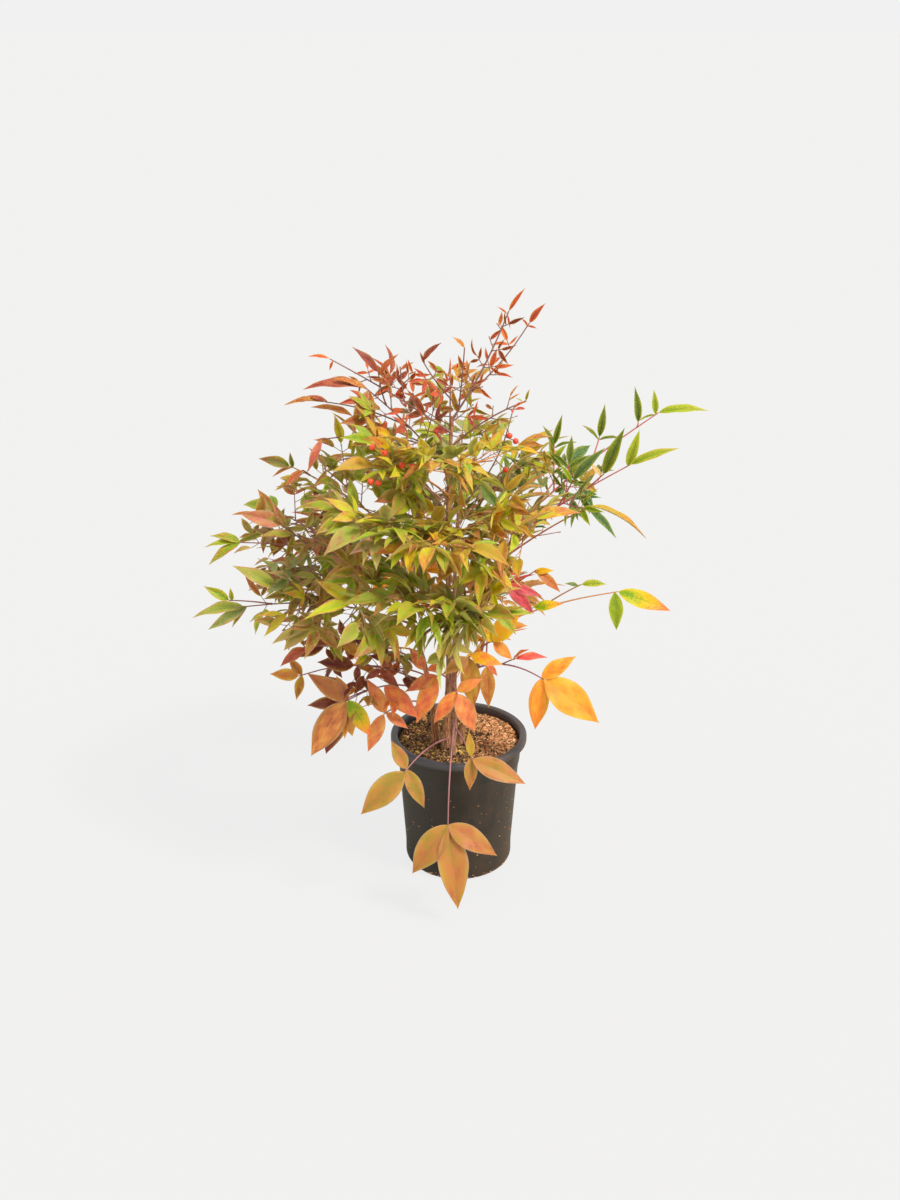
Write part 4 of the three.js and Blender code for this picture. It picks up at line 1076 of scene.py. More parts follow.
FRONDS = [
    # The left side, from low to high.
    Frond("left_low", "left", Attire.OLIVE, [
        Limb(322, (-244, -50, 360), 34, 46, 2, 44, 60, (186, -11, -26), ((197, -27, -52, 52), (203, -50, -36, 31)),
             "OLIVE MIST OLIVE"),
        Limb(0.84, (-263, -36, 362), 8, 33, tip=(184, 33, -55), beside=((180, 86, -86, 16),)),
        Limb(0.3, (-196, 36, 378), 36, 48, 2, 46),
    ]),
    Frond("left_mid", "left", Attire.OLIVE, [
        Limb(382, (-254, -8, 422), 30, 44, 2, 42, 38, (186, -7, -26), ((168, 7, -25, 38), (195, -33, -34, 45))),
        Limb(0.32, (-220, 48, 442), 22, 44, 2, 44),
        Limb(0.55, (-201, -10, 445), 0, 49, tip=(185, 17, -57), beside=((171, 66, -66, 31),), turned="ROSY OLIVE"),
        Limb(0.7, (-230, 6, 449), 0, 31, tip=(184, 4, -34), beside=((28, 82, 58, 32),)),
    ]),
    Frond("left_front", "left", Attire.GREEN, [
        Limb(356, (-195, -78, 363), 34, 48, 2, 46, 32, (187, -2, -33), ((196, -42, -48, 38),)),
        Limb(0.7, (-163, -92, 355), 30, 50, tip=(187, -24, -35), beside=((200, -39, -40, 45),)),
        Limb(0.55, (-204, -66, 392), 20, 54, tip=(187, 29, -61), beside=((214, -27, -27, 20),),
             turned="OLIVE OLIVE"),
    ]),
    Frond("left_high", "left", Attire.GREEN, [
        Limb(436, (-194, 30, 501), 24, 44, 2, 42, 37, (183, 16, -57), ((180, 82, -85, 19), (194, -22, -19, 27)),
             "FOREST FOREST BRONZE"),
        Limb(0.3, (-150, -26, 516), 20, 44, 1, 40),
        Limb(0.82, (-177, 8, 503), 10, 27, tip=(202, -37, -50), turned="CORAL"),
    ]),
    Frond("left_crest", "tall", Attire.BRONZE, [
        Limb(505, (-103, -4, 601), 14, 46, 2, 44, 69, (183, -1, -19),
             ((222, -63, -39, 52), (279, -78, 7, 49), (186, 20, -20, 41)), "MAROON PINK COPPER COPPER"),
        Limb(0.78, (-89, 2, 617), -20, 41, tip=(188, 45, -54), beside=((5, 47, 42, 33),), turned="MAROON COPPER"),
        Limb(0.5, (-150, 16, 580), 24, 46, tip=(185, -4, -19), beside=((171, 12, -19, 28),), turned="OCHRE BRONZE"),
        Limb(0.3, (-152, -16, 546), 30, 40, tip=(216, -60, -48), turned="PINK"),
        Limb(0.3, (-119, 8, 566), 10, 48, tip=(185, 13, -19), turned="COPPER"),
    ], replace(SLENDER, slim=0.32)),
    Frond("left_sprig", "tall", Attire.FLAME, [
        Limb(548, (-143, 18, 628), 8, 20, 2, 18, 25, (180, 5, -34), ((210, -67, -44, 12),)),
        Limb(0.4, (-66, 24, 618), -10, 26, 1, 20, 24),
    ], YOUNG),
    # The young growth on top.
    Frond("plume", "tall", Attire.FLAME, [
        Limb(562, (53, 10, 682), -14, 22, 4, 15, 31, (0, 55, 68), ((180, 36, -47, 15), (310, -71, 34, 16))),
        Limb(0.25, (76, 20, 667), -20, 21, 2, 12, 28, (0, 52, 67), ((335, -8, 44, 12), (210, 50, -86, 13))),
        Limb(0.12, (-40, -14, 633), -18, 22, 2, 15, 29, (6, 44, 41), ((180, 70, -76, 15),)),
        Limb(0.1, (5, -16, 648), -10, 18, 1, 16, tip=(180, 42, -50)),
    ], YOUNG),
    Frond("plume_back", "tall", Attire.COPPER, [Limb(520, (-10, 82, 604), 24, 36, 2, 34)], SLENDER),
    Frond("right_sprig", "tall", Attire.COPPER, [
        Limb(532, (73, -2, 586), 24, 21, 3, 17, 15, (333, 73, 96), ((207, 32, -50, 11),)),
    ], YOUNG),
    # The right side, from high to low.
    Frond("right_high", "right", Attire.DEEP_GREEN, [
        Limb(442, (224, 26, 565), 12, 56, tip=(354, 4, 41), beside=((180, 82, -84, 30), (169, -25, -21, 22))),
        Limb(0.86, (202, 28, 553), 0, 43, tip=(180, 82, -84)),
        Limb(0.55, (160, 38, 533), -20, 40, tip=(0, 84, 86), beside=((180, 42, -24, 27), (351, 7, 19, 27))),
        Limb(0.28, (109, 44, 522), -20, 38, tip=(0, 77, 80), beside=((180, 63, -47, 31), (352, 17, 20, 28))),
    ], SLENDER),
    Frond("right_mid", "right", Attire.DEEP_GREEN, [
        Limb(426, (192, -2, 513), 10, 42, 1, 34, 57, (354, 21, 51), ((350, 75, 88, 45),)),
        Limb(0.66, (161, -12, 505), 0, 59, tip=(349, 69, 84), beside=((202, 48, -85, 24),), turned="FOREST BUFF"),
        Limb(0.4, (127, -16, 500), -10, 51, tip=(353, 49, 67), beside=((187, 56, -71, 28), (337, -24, 31, 22)),
             turned="SEA SPRING FOREST"),
    ], SLENDER),
    Frond("right_low", "right", Attire.GOLD, [
        Limb(404, (145, -42, 478), 10, 38, last=72, tip=(347, -28, 6), beside=((317, -34, 24, 49),),
             turned="OCHRE SEA"),
    ], replace(SLENDER, slim=0.22)),
    Frond("right_back", "right", Attire.SEA_GREEN, [Limb(380, (128, 74, 488), 30, 43, 3, 42)]),
    Frond("right_front", "right", Attire.LIME, [Limb(372, (80, -86, 466), 36, 42, 3, 40)]),
    Frond("right_thin", "right", Attire.LIME, [
        Limb(312, (183, -20, 366), 20, 65, tip=(352, -19, 55), beside=((299, -81, 27, 46),),
             turned="TURNING SPRING"),
        Limb(0.42, (138, -42, 384), 10, 29, tip=(356, 2, 33), beside=((193, 13, -42, 18),), turned="SPRING SEA"),
        Limb(0.15, (84, -50, 359), 10, 35, tip=(350, 12, 53), turned="TURNING"),
    ], replace(BROAD, slim=0.34)),
    # The lower leaves, in autumn colours, that hang round the pot's rim.
    Frond("low_amber", "right", Attire.AMBER, [
        Limb(262, (97, -70, 278), 50, 81, tip=(347, -36, 52), beside=((14, 30, 50, 47), (241, -77, -25, 62))),
        Limb(0.4, (65, -40, 290), 10, 38, tip=(351, 6, 12), beside=((334, 40, 17, 27),), turned="ROSE CORAL"),
    ], BROAD),
    Frond("low_gold", "right", Attire.GOLD, [
        Limb(286, (39, -62, 322), 20, 40, 1, 30, 54, (4, 55, 63), ((345, -40, 52, 31), (180, 49, -63, 28)),
             "GOLD ORANGE CITRON"),
        Limb(0.5, (31, -64, 292), 40, 48, tip=(278, -71, 7), beside=((342, -48, 52, 20),), turned="OCHRE PEACH"),
    ], BROAD),
    Frond("low_scarlet", "right", Attire.SCARLET, [
        Limb(338, (52, -60, 391), 30, 36, 1, 26, 46, (349, -45, 55), ((357, -17, 52, 44),), "ROSE ROSE"),
        Limb(0.7, (35, -58, 405), 0, 32, tip=(353, -1, 51), beside=((243, -75, -23, 26),), turned="SCARLET COPPER"),
        Limb(0.4, (86, -44, 402), 0, 38, tip=(348, -40, 53), beside=((348, 9, 50, 24),), turned="COPPER GOLD"),
    ], replace(BROAD, slim=0.33)),
    Frond("low_plum", "left", Attire.PLUM, [
        Limb(268, (-137, -40, 319), 24, 47, tip=(185, -10, -52), beside=((126, 70, -30, 21), (224, -71, -38, 27))),
        Limb(0.5, (-157, -28, 300), 30, 40, tip=(189, -16, -51)),
        Limb(0.66, (-172, -62, 314), 20, 39, tip=(190, -33, -21), turned="CORAL"),
    ], BROAD, finer=1),
    Frond("low_plum_inner", "left", Attire.PLUM, [
        Limb(252, (-91, -74, 293), 24, 32, tip=(346, -41, 52), beside=((14, 50, 54, 26), (186, -33, -54, 23))),
        Limb(0.6, (-120, -62, 292), 10, 43, tip=(185, 8, -52), beside=((249, -79, -18, 23), (10, 30, 51, 24)),
             turned="PLUM PLUM OLIVE"),
    ], BROAD, finer=3),
    Frond("low_amber_left", "left", Attire.TAN, [
        Limb(240, (-189, -20, 258), 60, 35, tip=(187, 8, -52), beside=((160, 49, -51, 27), (218, -72, -44, 32)),
             turned="BARK_TAN TAN OCHRE"),
    ], BROAD),
    Frond("low_ochre", "left", Attire.TAN, [
        Limb(226, (-129, -96, 263), 60, 76, tip=(197, -57, -55),
             beside=((175, 35, -55, 56), (343, -57, 55, 51), (139, 55, -32, 31)),
             turned="BARK_TAN TAN TURNING BARK_TAN"),
        Limb(0.66, (-136, -72, 250), 20, 39, tip=(186, -4, -51), beside=((200, -70, -58, 70), (328, -76, 50, 45)),
             turned="PLUM PLUM BARK_TAN"),
    ], BROAD, finer=2),
    Frond("low_salmon", "left", Attire.SALMON, [
        Limb(212, (-86, -90, 244), 50, 49, tip=(203, -65, -53), beside=((165, 61, -58, 47), (347, -33, 51, 32)),
             turned="PEACH PEACH CORAL"),
        Limb(0.5, (-85, -86, 278), 20, 54, tip=(345, -43, 50), turned="ORANGE"),
    ], replace(BROAD, slim=0.38), finer=1),
    Frond("low_olive", "left", Attire.LIME, [
        Limb(284, (-107, -70, 309), 40, 36, 1, 26, 36, (184, 29, -57), ((14, 57, 57, 31), (201, -36, -48, 21)),
             "OCHRE LIME TURNING"),
    ], BROAD),
    Frond("low_orange", "front", Attire.SALMON, [
        Limb(262, (-39, -88, 299), 36, 32, tip=(167, 56, -57), beside=((11, 15, 50, 21), (270, -68, 0, 16)),
             turned="PEACH ORANGE CORAL"),
        Limb(0.3, (-2, -98, 274), 40, 52, tip=(354, -68, 69), beside=((193, -55, -57, 46), (12, 24, 51, 33)),
             turned="PEACH ORANGE ORANGE"),
        Limb(0.5, (-26, -78, 286), 10, 59, tip=(215, -62, -43), beside=((192, -24, -51, 43),),
             turned="ORANGE PEACH"),
        Limb(0.15, (12, -80, 313), 10, 39, tip=(348, -11, 50), beside=((208, -23, -44, 37), (296, -78, 23, 60)),
             turned="GOLD TAN OCHRE"),
    ], BROAD),
    Frond("rim_left", "front", Attire.TAN, [
        Limb(188, (-62, -118, 185), 50, 72, tip=(193, -44, -53), beside=((329, -63, 46, 50), (139, 50, -37, 38))),
    ], BROAD),
    Frond("rim_right", "front", Attire.TAN, [
        Limb(200, (15, -104, 193), 40, 68, tip=(353, -25, 52), beside=((259, -75, -10, 40), (101, 59, -9, 30)),
             turned="TAN TAN OCHRE"),
    ], replace(BROAD, slim=0.39)),
    Frond("rim_hanging", "front", Attire.TAN, [
        Limb(214, (-13, -132, 119), 84, 100, tip=(300, -76, 22), beside=((191, -55, -58, 74), (352, -32, 53, 68))),
    ], replace(BROAD, slim=0.4)),
    # The front of the crown.
    Frond("front_low", "front", Attire.WARM_GREEN, [Limb(346, (-42, -150, 402), 40, 60, 3, 50)]),
    Frond("front_low_left", "front", Attire.WARM_GREEN, [Limb(358, (-116, -128, 398), 36, 56, 3, 50)]),
    Frond("front_low_right", "front", Attire.LIME, [Limb(330, (28, -128, 384), 36, 56, 3, 46)]),
    Frond("front_mid", "tall", Attire.LIME, [Limb(416, (-31, -150, 470), 36, 62, 3, 54)]),
    Frond("front_mid_left", "tall", Attire.WARM_GREEN, [Limb(446, (-105, -122, 478), 34, 56, 3, 54)]),
    Frond("front_mid_right", "tall", Attire.LIME, [Limb(434, (50, -110, 462), 34, 60, 3, 52)]),
    Frond("front_upper_left", "tall", Attire.CITRON, [Limb(478, (-92, -74, 534), 34, 52, 3, 48)]),
    Frond("front_high", "tall", Attire.CITRON, [Limb(488, (-24, -104, 546), 34, 50, 3, 46)]),
    Frond("front_high_right", "tall", Attire.CITRON, [Limb(497, (36, -62, 536), 30, 48, 2, 46)]),
    # The back of the crown.
    Frond("back_high", "back", Attire.BACK, [Limb(450, (5, 185, 500), 36, 50, 3, 44)]),
    Frond("back_left", "back", Attire.OLIVE, [Limb(430, (-122, 150, 474), 36, 54, 3, 52)]),
    Frond("back_right", "back", Attire.BACK, [Limb(418, (88, 150, 452), 36, 54, 3, 52)]),
    Frond("back_mid", "back", Attire.OLIVE, [Limb(388, (-40, 210, 412), 44, 56, 3, 52)]),
    Frond("back_mid_right", "back", Attire.BACK, [Limb(366, (78, 188, 388), 44, 58, 2, 52)]),
    Frond("back_low_left", "low", Attire.BRONZE, [Limb(354, (-166, 106, 380), 44, 56, 3, 50)]),
    Frond("back_low", "low", Attire.AMBER, [Limb(300, (-92, 166, 318), 50, 62, 2, 46)], replace(BROAD, slim=0.35)),
    Frond("back_low_right", "back", Attire.TAN, [
        Limb(290, (62, 164, 300), 50, 62, 2, 46),
    ], replace(BROAD, slim=0.35)),
]


@dataclass(frozen=True)
class Rule:
    """How a compound leaf branches. These are the sizes of the solids."""

    steps: int = 4
    stagger: float = 4  # from the end of the twig back to the side leaflets
    bare: float = 0.3  # of a stalk, before its first side stalks
    spread: float = 54  # degrees between a stalk and its side stalks
    open: float = 52  # degrees between the middle leaflet and each side leaflet
    side_leaf: float = 0.84  # a side leaflet's length, of the middle one's
    shorten: float = 0.42  # how much shorter the last side stalks are than the first
    lift: float = 0.1  # how far the side stalks rise above the frond's plane
    tumble: float = 0.9  # how far they stray above and below it
    droop: float = 0.25  # how far leaflets hang below it
    roll: float = 62  # degrees that leaflets turn about their midrib, at most half of it each way
    facing: float = 58  # degrees that leaves look up, those at the back to the back and the others to the front
    back_from: float = 100  # how far back a stalk that looks to the back ends


RULE = Rule()


class Stalk:
    """A stalk that arches between two points."""

    def __init__(self, start: Vector, end: Vector, sag: float) -> None:
        """Lays it out.

        Args:
            start: Where it leaves its cane or a thicker stalk.
            end: Where it ends.
            sag: How much lower its far end points than its start, in degrees.
        """
        self.facing = towards(90 if end.y > RULE.back_from else -90, RULE.facing)
        run = end - start
        self.heading = degrees(atan2(run.y, run.x))
        self.climb = degrees(atan2(run.z, hypot(run.x, run.y)))
        self.sag = sag
        middles = [(i + 0.5) / RULE.steps for i in range(RULE.steps)]
        pace = run.length / sum(cos(radians(self.climb_at(m) - self.climb)) for m in middles)
        self.points = [start]
        for middle in middles:
            self.points.append(self.points[-1] + towards(self.heading, self.climb_at(middle)) * pace)
        self.reach = pace * RULE.steps

    def climb_at(self, share: float) -> float:
        """How steeply it rises at a share of its length."""
        return self.climb + self.sag * (0.5 - share)

    def point(self, share: float) -> Vector:
        """A point at a share of its length."""
        i = min(int(share * RULE.steps), RULE.steps - 1)
        return self.points[i].lerp(self.points[i + 1], share * RULE.steps - i)

    def bearing(self, share: float) -> Bearing:
        """The way that it runs at a share of its length."""
        return Bearing.of(towards(self.heading, self.climb_at(share)), self.facing)

    def line(self, count: int = 13) -> list[Vector]:
        """Its course with the corners worn smooth."""
        line = [self.point(i / (count - 1)) for i in range(count)]
        for _ in range(2):
            inner = [(a + b * 2 + c) / 4 for a, b, c in zip(line, line[1:], line[2:])]
            line = [line[0], *inner, line[-1]]
        return line


@dataclass(frozen=True)
class Leaflet:
    """One leaflet: where it starts, how it lies, its length, its spray, and its colours if they are its own."""

    root: Vector
    bearing: Bearing
    length: float
    spray: str
    strip: Strip | None = None
    posed: bool = False


@dataclass(frozen=True)
class Twig:
    """A stalk or twig: its course, its radii, and the sprays that keep it, none for one that always stays."""

    line: list[Vector]
    radii: list[float]
    sprays: set[str] | None = None


@dataclass
class Growth:
    """What one frond grows at one stage: its stalks and its leaflets."""

    stage: str
    stalks: list[Twig] = field(default_factory=list)
    leaflets: list[Leaflet] = field(default_factory=list)
    sprays: int = 0

    def new_spray(self) -> str:
        """The name of one more spray."""
        self.sprays += 1
        return f"{self.stage} {self.sprays}"


@dataclass(frozen=True)
class TwigSizes:
    """Radii of stalks and twigs, which swell a little at their joints, and where finer twigs grow."""

    stalk: float = 1.25
    arm: float = 1.0
    stalk_tip: float = 0.7
    twig: float = 0.72
    twig_tip: float = 0.5
    twiglet: float = 0.45
    swell: float = 1.55
    bow: float = 0.03  # how far a twig hangs in its middle, of its length
    full: float = 40.0  # leaflets whose solid one is longer are shorter here, on a longer twig
    trim: float = 0.8
    finer_from: float = 18.0  # a side stalk that is longer carries finer twigs
    # Where they leave a side stalk that is shorter than each of these lengths.
    places: tuple[tuple[float, Sequence[float]], ...] = ((30, (0.5,)), (46, (0.34, 0.68)), (inf, (0.24, 0.5, 0.76)))
    leafy_from: float = 30.0  # a stalk with longer leaflets has finer twigs between its side stalks
    between: float = 0.62  # their place, from one pair of side stalks to the next
    free_reach: Span = (12, 26)  # of finer twigs on a stalk without side stalks
    free_leaf: Span = (22, 34)


TWIGS = TwigSizes()


class Grower:
    """Grows a frond by the source's rule, then its finer twigs."""

    FINER_SEED = 1000

    def __init__(self, frond: Frond, seed: int) -> None:
        """Takes a frond and the seed that its solid has."""
        self.frond = frond
        self.chance = Chance(seed)
        self.finer = Chance(seed + self.FINER_SEED)
        self.posed, self.growth, self.fine = Growth("posed"), Growth("side"), Growth("fine")

    def side_leaflets(self, root: Vector, level: Bearing, length: float, spray: str) -> list[Leaflet]:
        """The side leaflets of a three.

        Args:
            root: Where they start.
            level: How the middle leaflet lies.
            length: The middle leaflet's length.
            spray: Their spray.

        Returns:
            The leaflets.
        """
        made = []
        for side in (1, -1):
            r1, r2, r3, r4 = (self.chance() for _ in range(4))
            along = level.to_left(radians(side * RULE.open * (1 + (r1 - 0.5) * 0.4)))
            along.z -= RULE.droop * (2.4 * r2 - 0.6)
            bearing = Bearing.of(along.normalized(), level.up).rolled(radians(RULE.roll * (r3 - 0.5)))
            made.append(Leaflet(root, bearing, length * RULE.side_leaf * (0.84 + 0.32 * r4), spray))
        return made

    def side_stalks(self, limb: Limb, stalk: Stalk) -> list[tuple[Vector, Vector, Bearing, float]]:
        """The side stalks of a stalk.

        Args:
            limb: Their number and sizes.
            stalk: Its course.

        Returns:
            Each one's start, its end, how it lies, and its middle leaflet's length.
        """
        made = []
        for i in range(limb.pairs):
            for side in (1, -1):
                r1, r2, r3, r4, r5 = (self.chance() for _ in range(5))
                share = RULE.bare + (1 - RULE.bare) * (i + 0.25 * r5) / limb.pairs
                point, bearing = stalk.point(share), stalk.bearing(share)
                along = bearing.to_left(radians(side * RULE.spread * (0.85 + 0.3 * r1)))
                along += bearing.up * (RULE.lift + RULE.tumble * (r2 - 0.5))
                along.normalize()
                length = limb.side * (1 - RULE.shorten * i / limb.pairs) * (0.8 + 0.4 * r3)
                level = Bearing.of(along, bearing.up).rolled(radians(RULE.roll * (r4 - 0.5)))
                made.append((point, point + along * length, level, limb.leaf * (1 - 0.16 * (r3 - 0.5))))
        return made

    def twig(self, growth: Growth, start: Vector, end: Vector, radii: Span, sprays: set[str]) -> None:
        """Adds a twig that swells at both ends and bows a little.

        Args:
            growth: What gets it.
            start: Where it starts.
            end: Where it ends.
            radii: Its radii near its ends.
            sprays: The sprays that it carries.
        """
        radius, tip = radii
        bow = UP * -(end - start).length * TWIGS.bow
        line = [start, start.lerp(end, 0.12), start.lerp(end, 0.5) + bow, start.lerp(end, 0.92), end]
        course = [radius * TWIGS.swell, radius, (radius + tip) / 2, tip, tip * TWIGS.swell]
        growth.stalks.append(Twig(line, course, sprays))

    def twiglet(self, root: Vector, level: Bearing, side: int, reach: float, leaf: float) -> str:
        """Adds a finer twig with one to three small leaflets.

        Args:
            root: Where it starts.
            level: How the thicker twig lies.
            side: 1 for its left side and -1 for its right one.
            reach: Its length.
            leaf: The length of its middle leaflet.

        Returns:
            Its spray.
        """
        chance = self.finer
        turn = radians(side * RULE.spread * chance.between(0.75, 1.25))
        along = (level.to_left(turn) + level.up * chance.between(-0.5, 0.6)).normalized()
        tip = root + along * reach
        spray = self.fine.new_spray()
        self.twig(self.fine, root, tip, (TWIGS.twiglet, TWIGS.twiglet * 0.8), {spray})
        lie = Bearing.of(along, level.up).rolled(radians(RULE.roll * 1.3 * (chance() - 0.5)))
        self.fine.leaflets.append(Leaflet(tip, lie, leaf, spray))
        for k in (1, -1):
            if chance() < 0.7:
                aside = lie.to_left(radians(k * RULE.open * chance.between(0.8, 1.2)))
                aside.z -= RULE.droop * chance.between(-0.6, 1.6)
                small = Bearing.of(aside.normalized(), lie.up).rolled(radians(RULE.roll * (chance() - 0.5)))
                self.fine.leaflets.append(Leaflet(tip, small, leaf * chance.between(0.6, 0.9), spray))
        return spray

    def finer_twigs(self, start: Vector, end: Vector, level: Bearing, leaf: float) -> set[str]:
        """Adds pairs of twiglets along a side stalk.

        Args:
            start: Where the side stalk starts.
            end: Where it ends.
            level: How it lies.
            leaf: Its middle leaflet's length.

        Returns:
            Their sprays.
        """
        chance = self.finer
        length = (end - start).length
        sprays = set()
        for share in next(shares for limit, shares in TWIGS.places if length < limit):
            for side in (1, -1):
                place = start.lerp(end, share + chance.between(-0.06, 0.06))
                reach, size = length * chance.between(0.14, 0.28), leaf * chance.between(0.6, 0.95)
                sprays.add(self.twiglet(place, level, side, reach, size))
        return sprays

    def limb(self, limb: Limb, stalk: Stalk, radius: float) -> None:
        """Grows a frond's own stalk or one arm, with all that it carries.

        Args:
            limb: Its sizes.
            stalk: Its course.
            radius: Its radius where it starts.
        """
        growth, posed = self.growth, self.posed
        line = stalk.line()
        radii = np.linspace(radius, TWIGS.stalk_tip, len(line)).tolist()
        radii[0] *= TWIGS.swell
        growth.stalks.append(Twig(line, radii))
        end, level = stalk.point(1), stalk.bearing(1)
        last = limb.last or limb.leaf
        root = stalk.point(max(0.0, 1 - RULE.stagger / stalk.reach))
        if limb.tip:
            spray = posed.new_spray()
            own = [*strips(limb.turned), *[None] * 3]
            lies = [(end, (*limb.tip, last)), *((root, lie) for lie in limb.beside)]
            for (place, (heading, climb, roll, length)), strip in zip(lies, own):
                lie = Bearing.of(towards(heading, climb)).rolled(radians(roll))
                posed.leaflets.append(Leaflet(place, lie, length, spray, strip, True))
        else:
            spray = growth.new_spray()
            growth.leaflets.append(Leaflet(end, level, last, spray))
            growth.leaflets += self.side_leaflets(root, level, last, spray)
        trim = TWIGS.trim if limb.leaf > TWIGS.full else 1.0
        for start, tip, lie, size in self.side_stalks(limb, stalk):
            spray = growth.new_spray()
            tip = tip + lie.along * (size * (1 - trim) * 0.8)
            foot = tip - (tip - start).normalized() * RULE.stagger
            growth.leaflets.append(Leaflet(tip, lie, size * trim, spray))
            growth.leaflets += self.side_leaflets(foot, lie, size * trim, spray)
            sprays = {spray}
            if (tip - start).length > TWIGS.finer_from:
                sprays |= self.finer_twigs(start, tip, lie, size * trim)
            self.twig(growth, start, tip, (TWIGS.twig, TWIGS.twig_tip), sprays)
        chance = self.finer
        for i in range(limb.pairs if limb.leaf > TWIGS.leafy_from else 0):
            share = RULE.bare + (1 - RULE.bare) * (i + TWIGS.between) / limb.pairs
            for side in (1, -1):
                reach = limb.side * chance.between(0.25, 0.45)
                self.twiglet(stalk.point(share), stalk.bearing(share), side, reach, limb.leaf * trim * 0.85)
        for i in range(0 if limb.pairs else self.frond.finer):
            share = 0.4 + 0.5 * (i + 0.5) / self.frond.finer
            for side in (1, -1):
                reach, leaf = chance.between(*TWIGS.free_reach), chance.between(*TWIGS.free_leaf)
                self.twiglet(stalk.point(share), stalk.bearing(share), side, reach, leaf)

    def grow(self) -> tuple[Growth, Growth, Growth]:
        """Grows the frond.

        Returns:
            Its posed sprays, the rest of what the solid's rule gives, and what its finer twigs give.
        """
        first, *arms = self.frond.limbs
        main = Stalk(CANES[self.frond.cane].at_height(first.at), Vector(first.to), first.sag)
        self.limb(first, main, TWIGS.stalk)
        for arm in arms:
            self.limb(arm, Stalk(main.point(arm.at), Vector(arm.to), arm.sag), TWIGS.arm)
        return self.posed, self.growth, self.fine


# ---- Leaflets as meshes ----


@dataclass(frozen=True)
class LeafForm:
    """The form of a leaflet: a thin closed blade, folded along its midrib and drawn out to a tip."""

    rows: int
    columns: tuple[float, ...]  # places across the blade, from -1 at one edge to 1 at the other
    widest: float = 0.4  # along its length
    foot: float = 0.95  # how bluntly it starts
    curl: float = 0.3  # how far the edges bend down again, of the fold
    thick: float = 0.42  # at the midrib, in mm
    rib: float = 0.35  # how deep the midrib stands out underneath, in mm
    vein: float = 0.16  # how deep the side veins are pressed in, in mm
    veins: int = 9

    def half_width(self, share: np.ndarray) -> np.ndarray:
        """Half the blade's width along its length, 1 where it is widest."""
        out = self.foot * (1 - self.widest) / self.widest
        return (share / self.widest) ** self.foot * ((1 - share) / (1 - self.widest)) ** out


SMALL_LEAF = LeafForm(rows=8, columns=(-1, -0.55, -0.08, 0.08, 0.55, 1), vein=0.0)
MIDDLE_LEAF = LeafForm(rows=10, columns=(-1, -0.84, -0.42, -0.06, 0.06, 0.42, 0.84, 1))
LARGE_LEAF = LeafForm(
    rows=26, columns=(-1, -0.93, -0.7, -0.47, -0.24, -0.04, 0.04, 0.24, 0.47, 0.7, 0.93, 1), foot=0.84, veins=10
)


@dataclass(frozen=True)
class Paint:
    """How one leaflet turns colour: its strip, and how far along it its heart, tip, edges and patches are."""

    strip: Strip
    start: float
    tip: float
    edge: float
    patch: float
    rimmed: bool


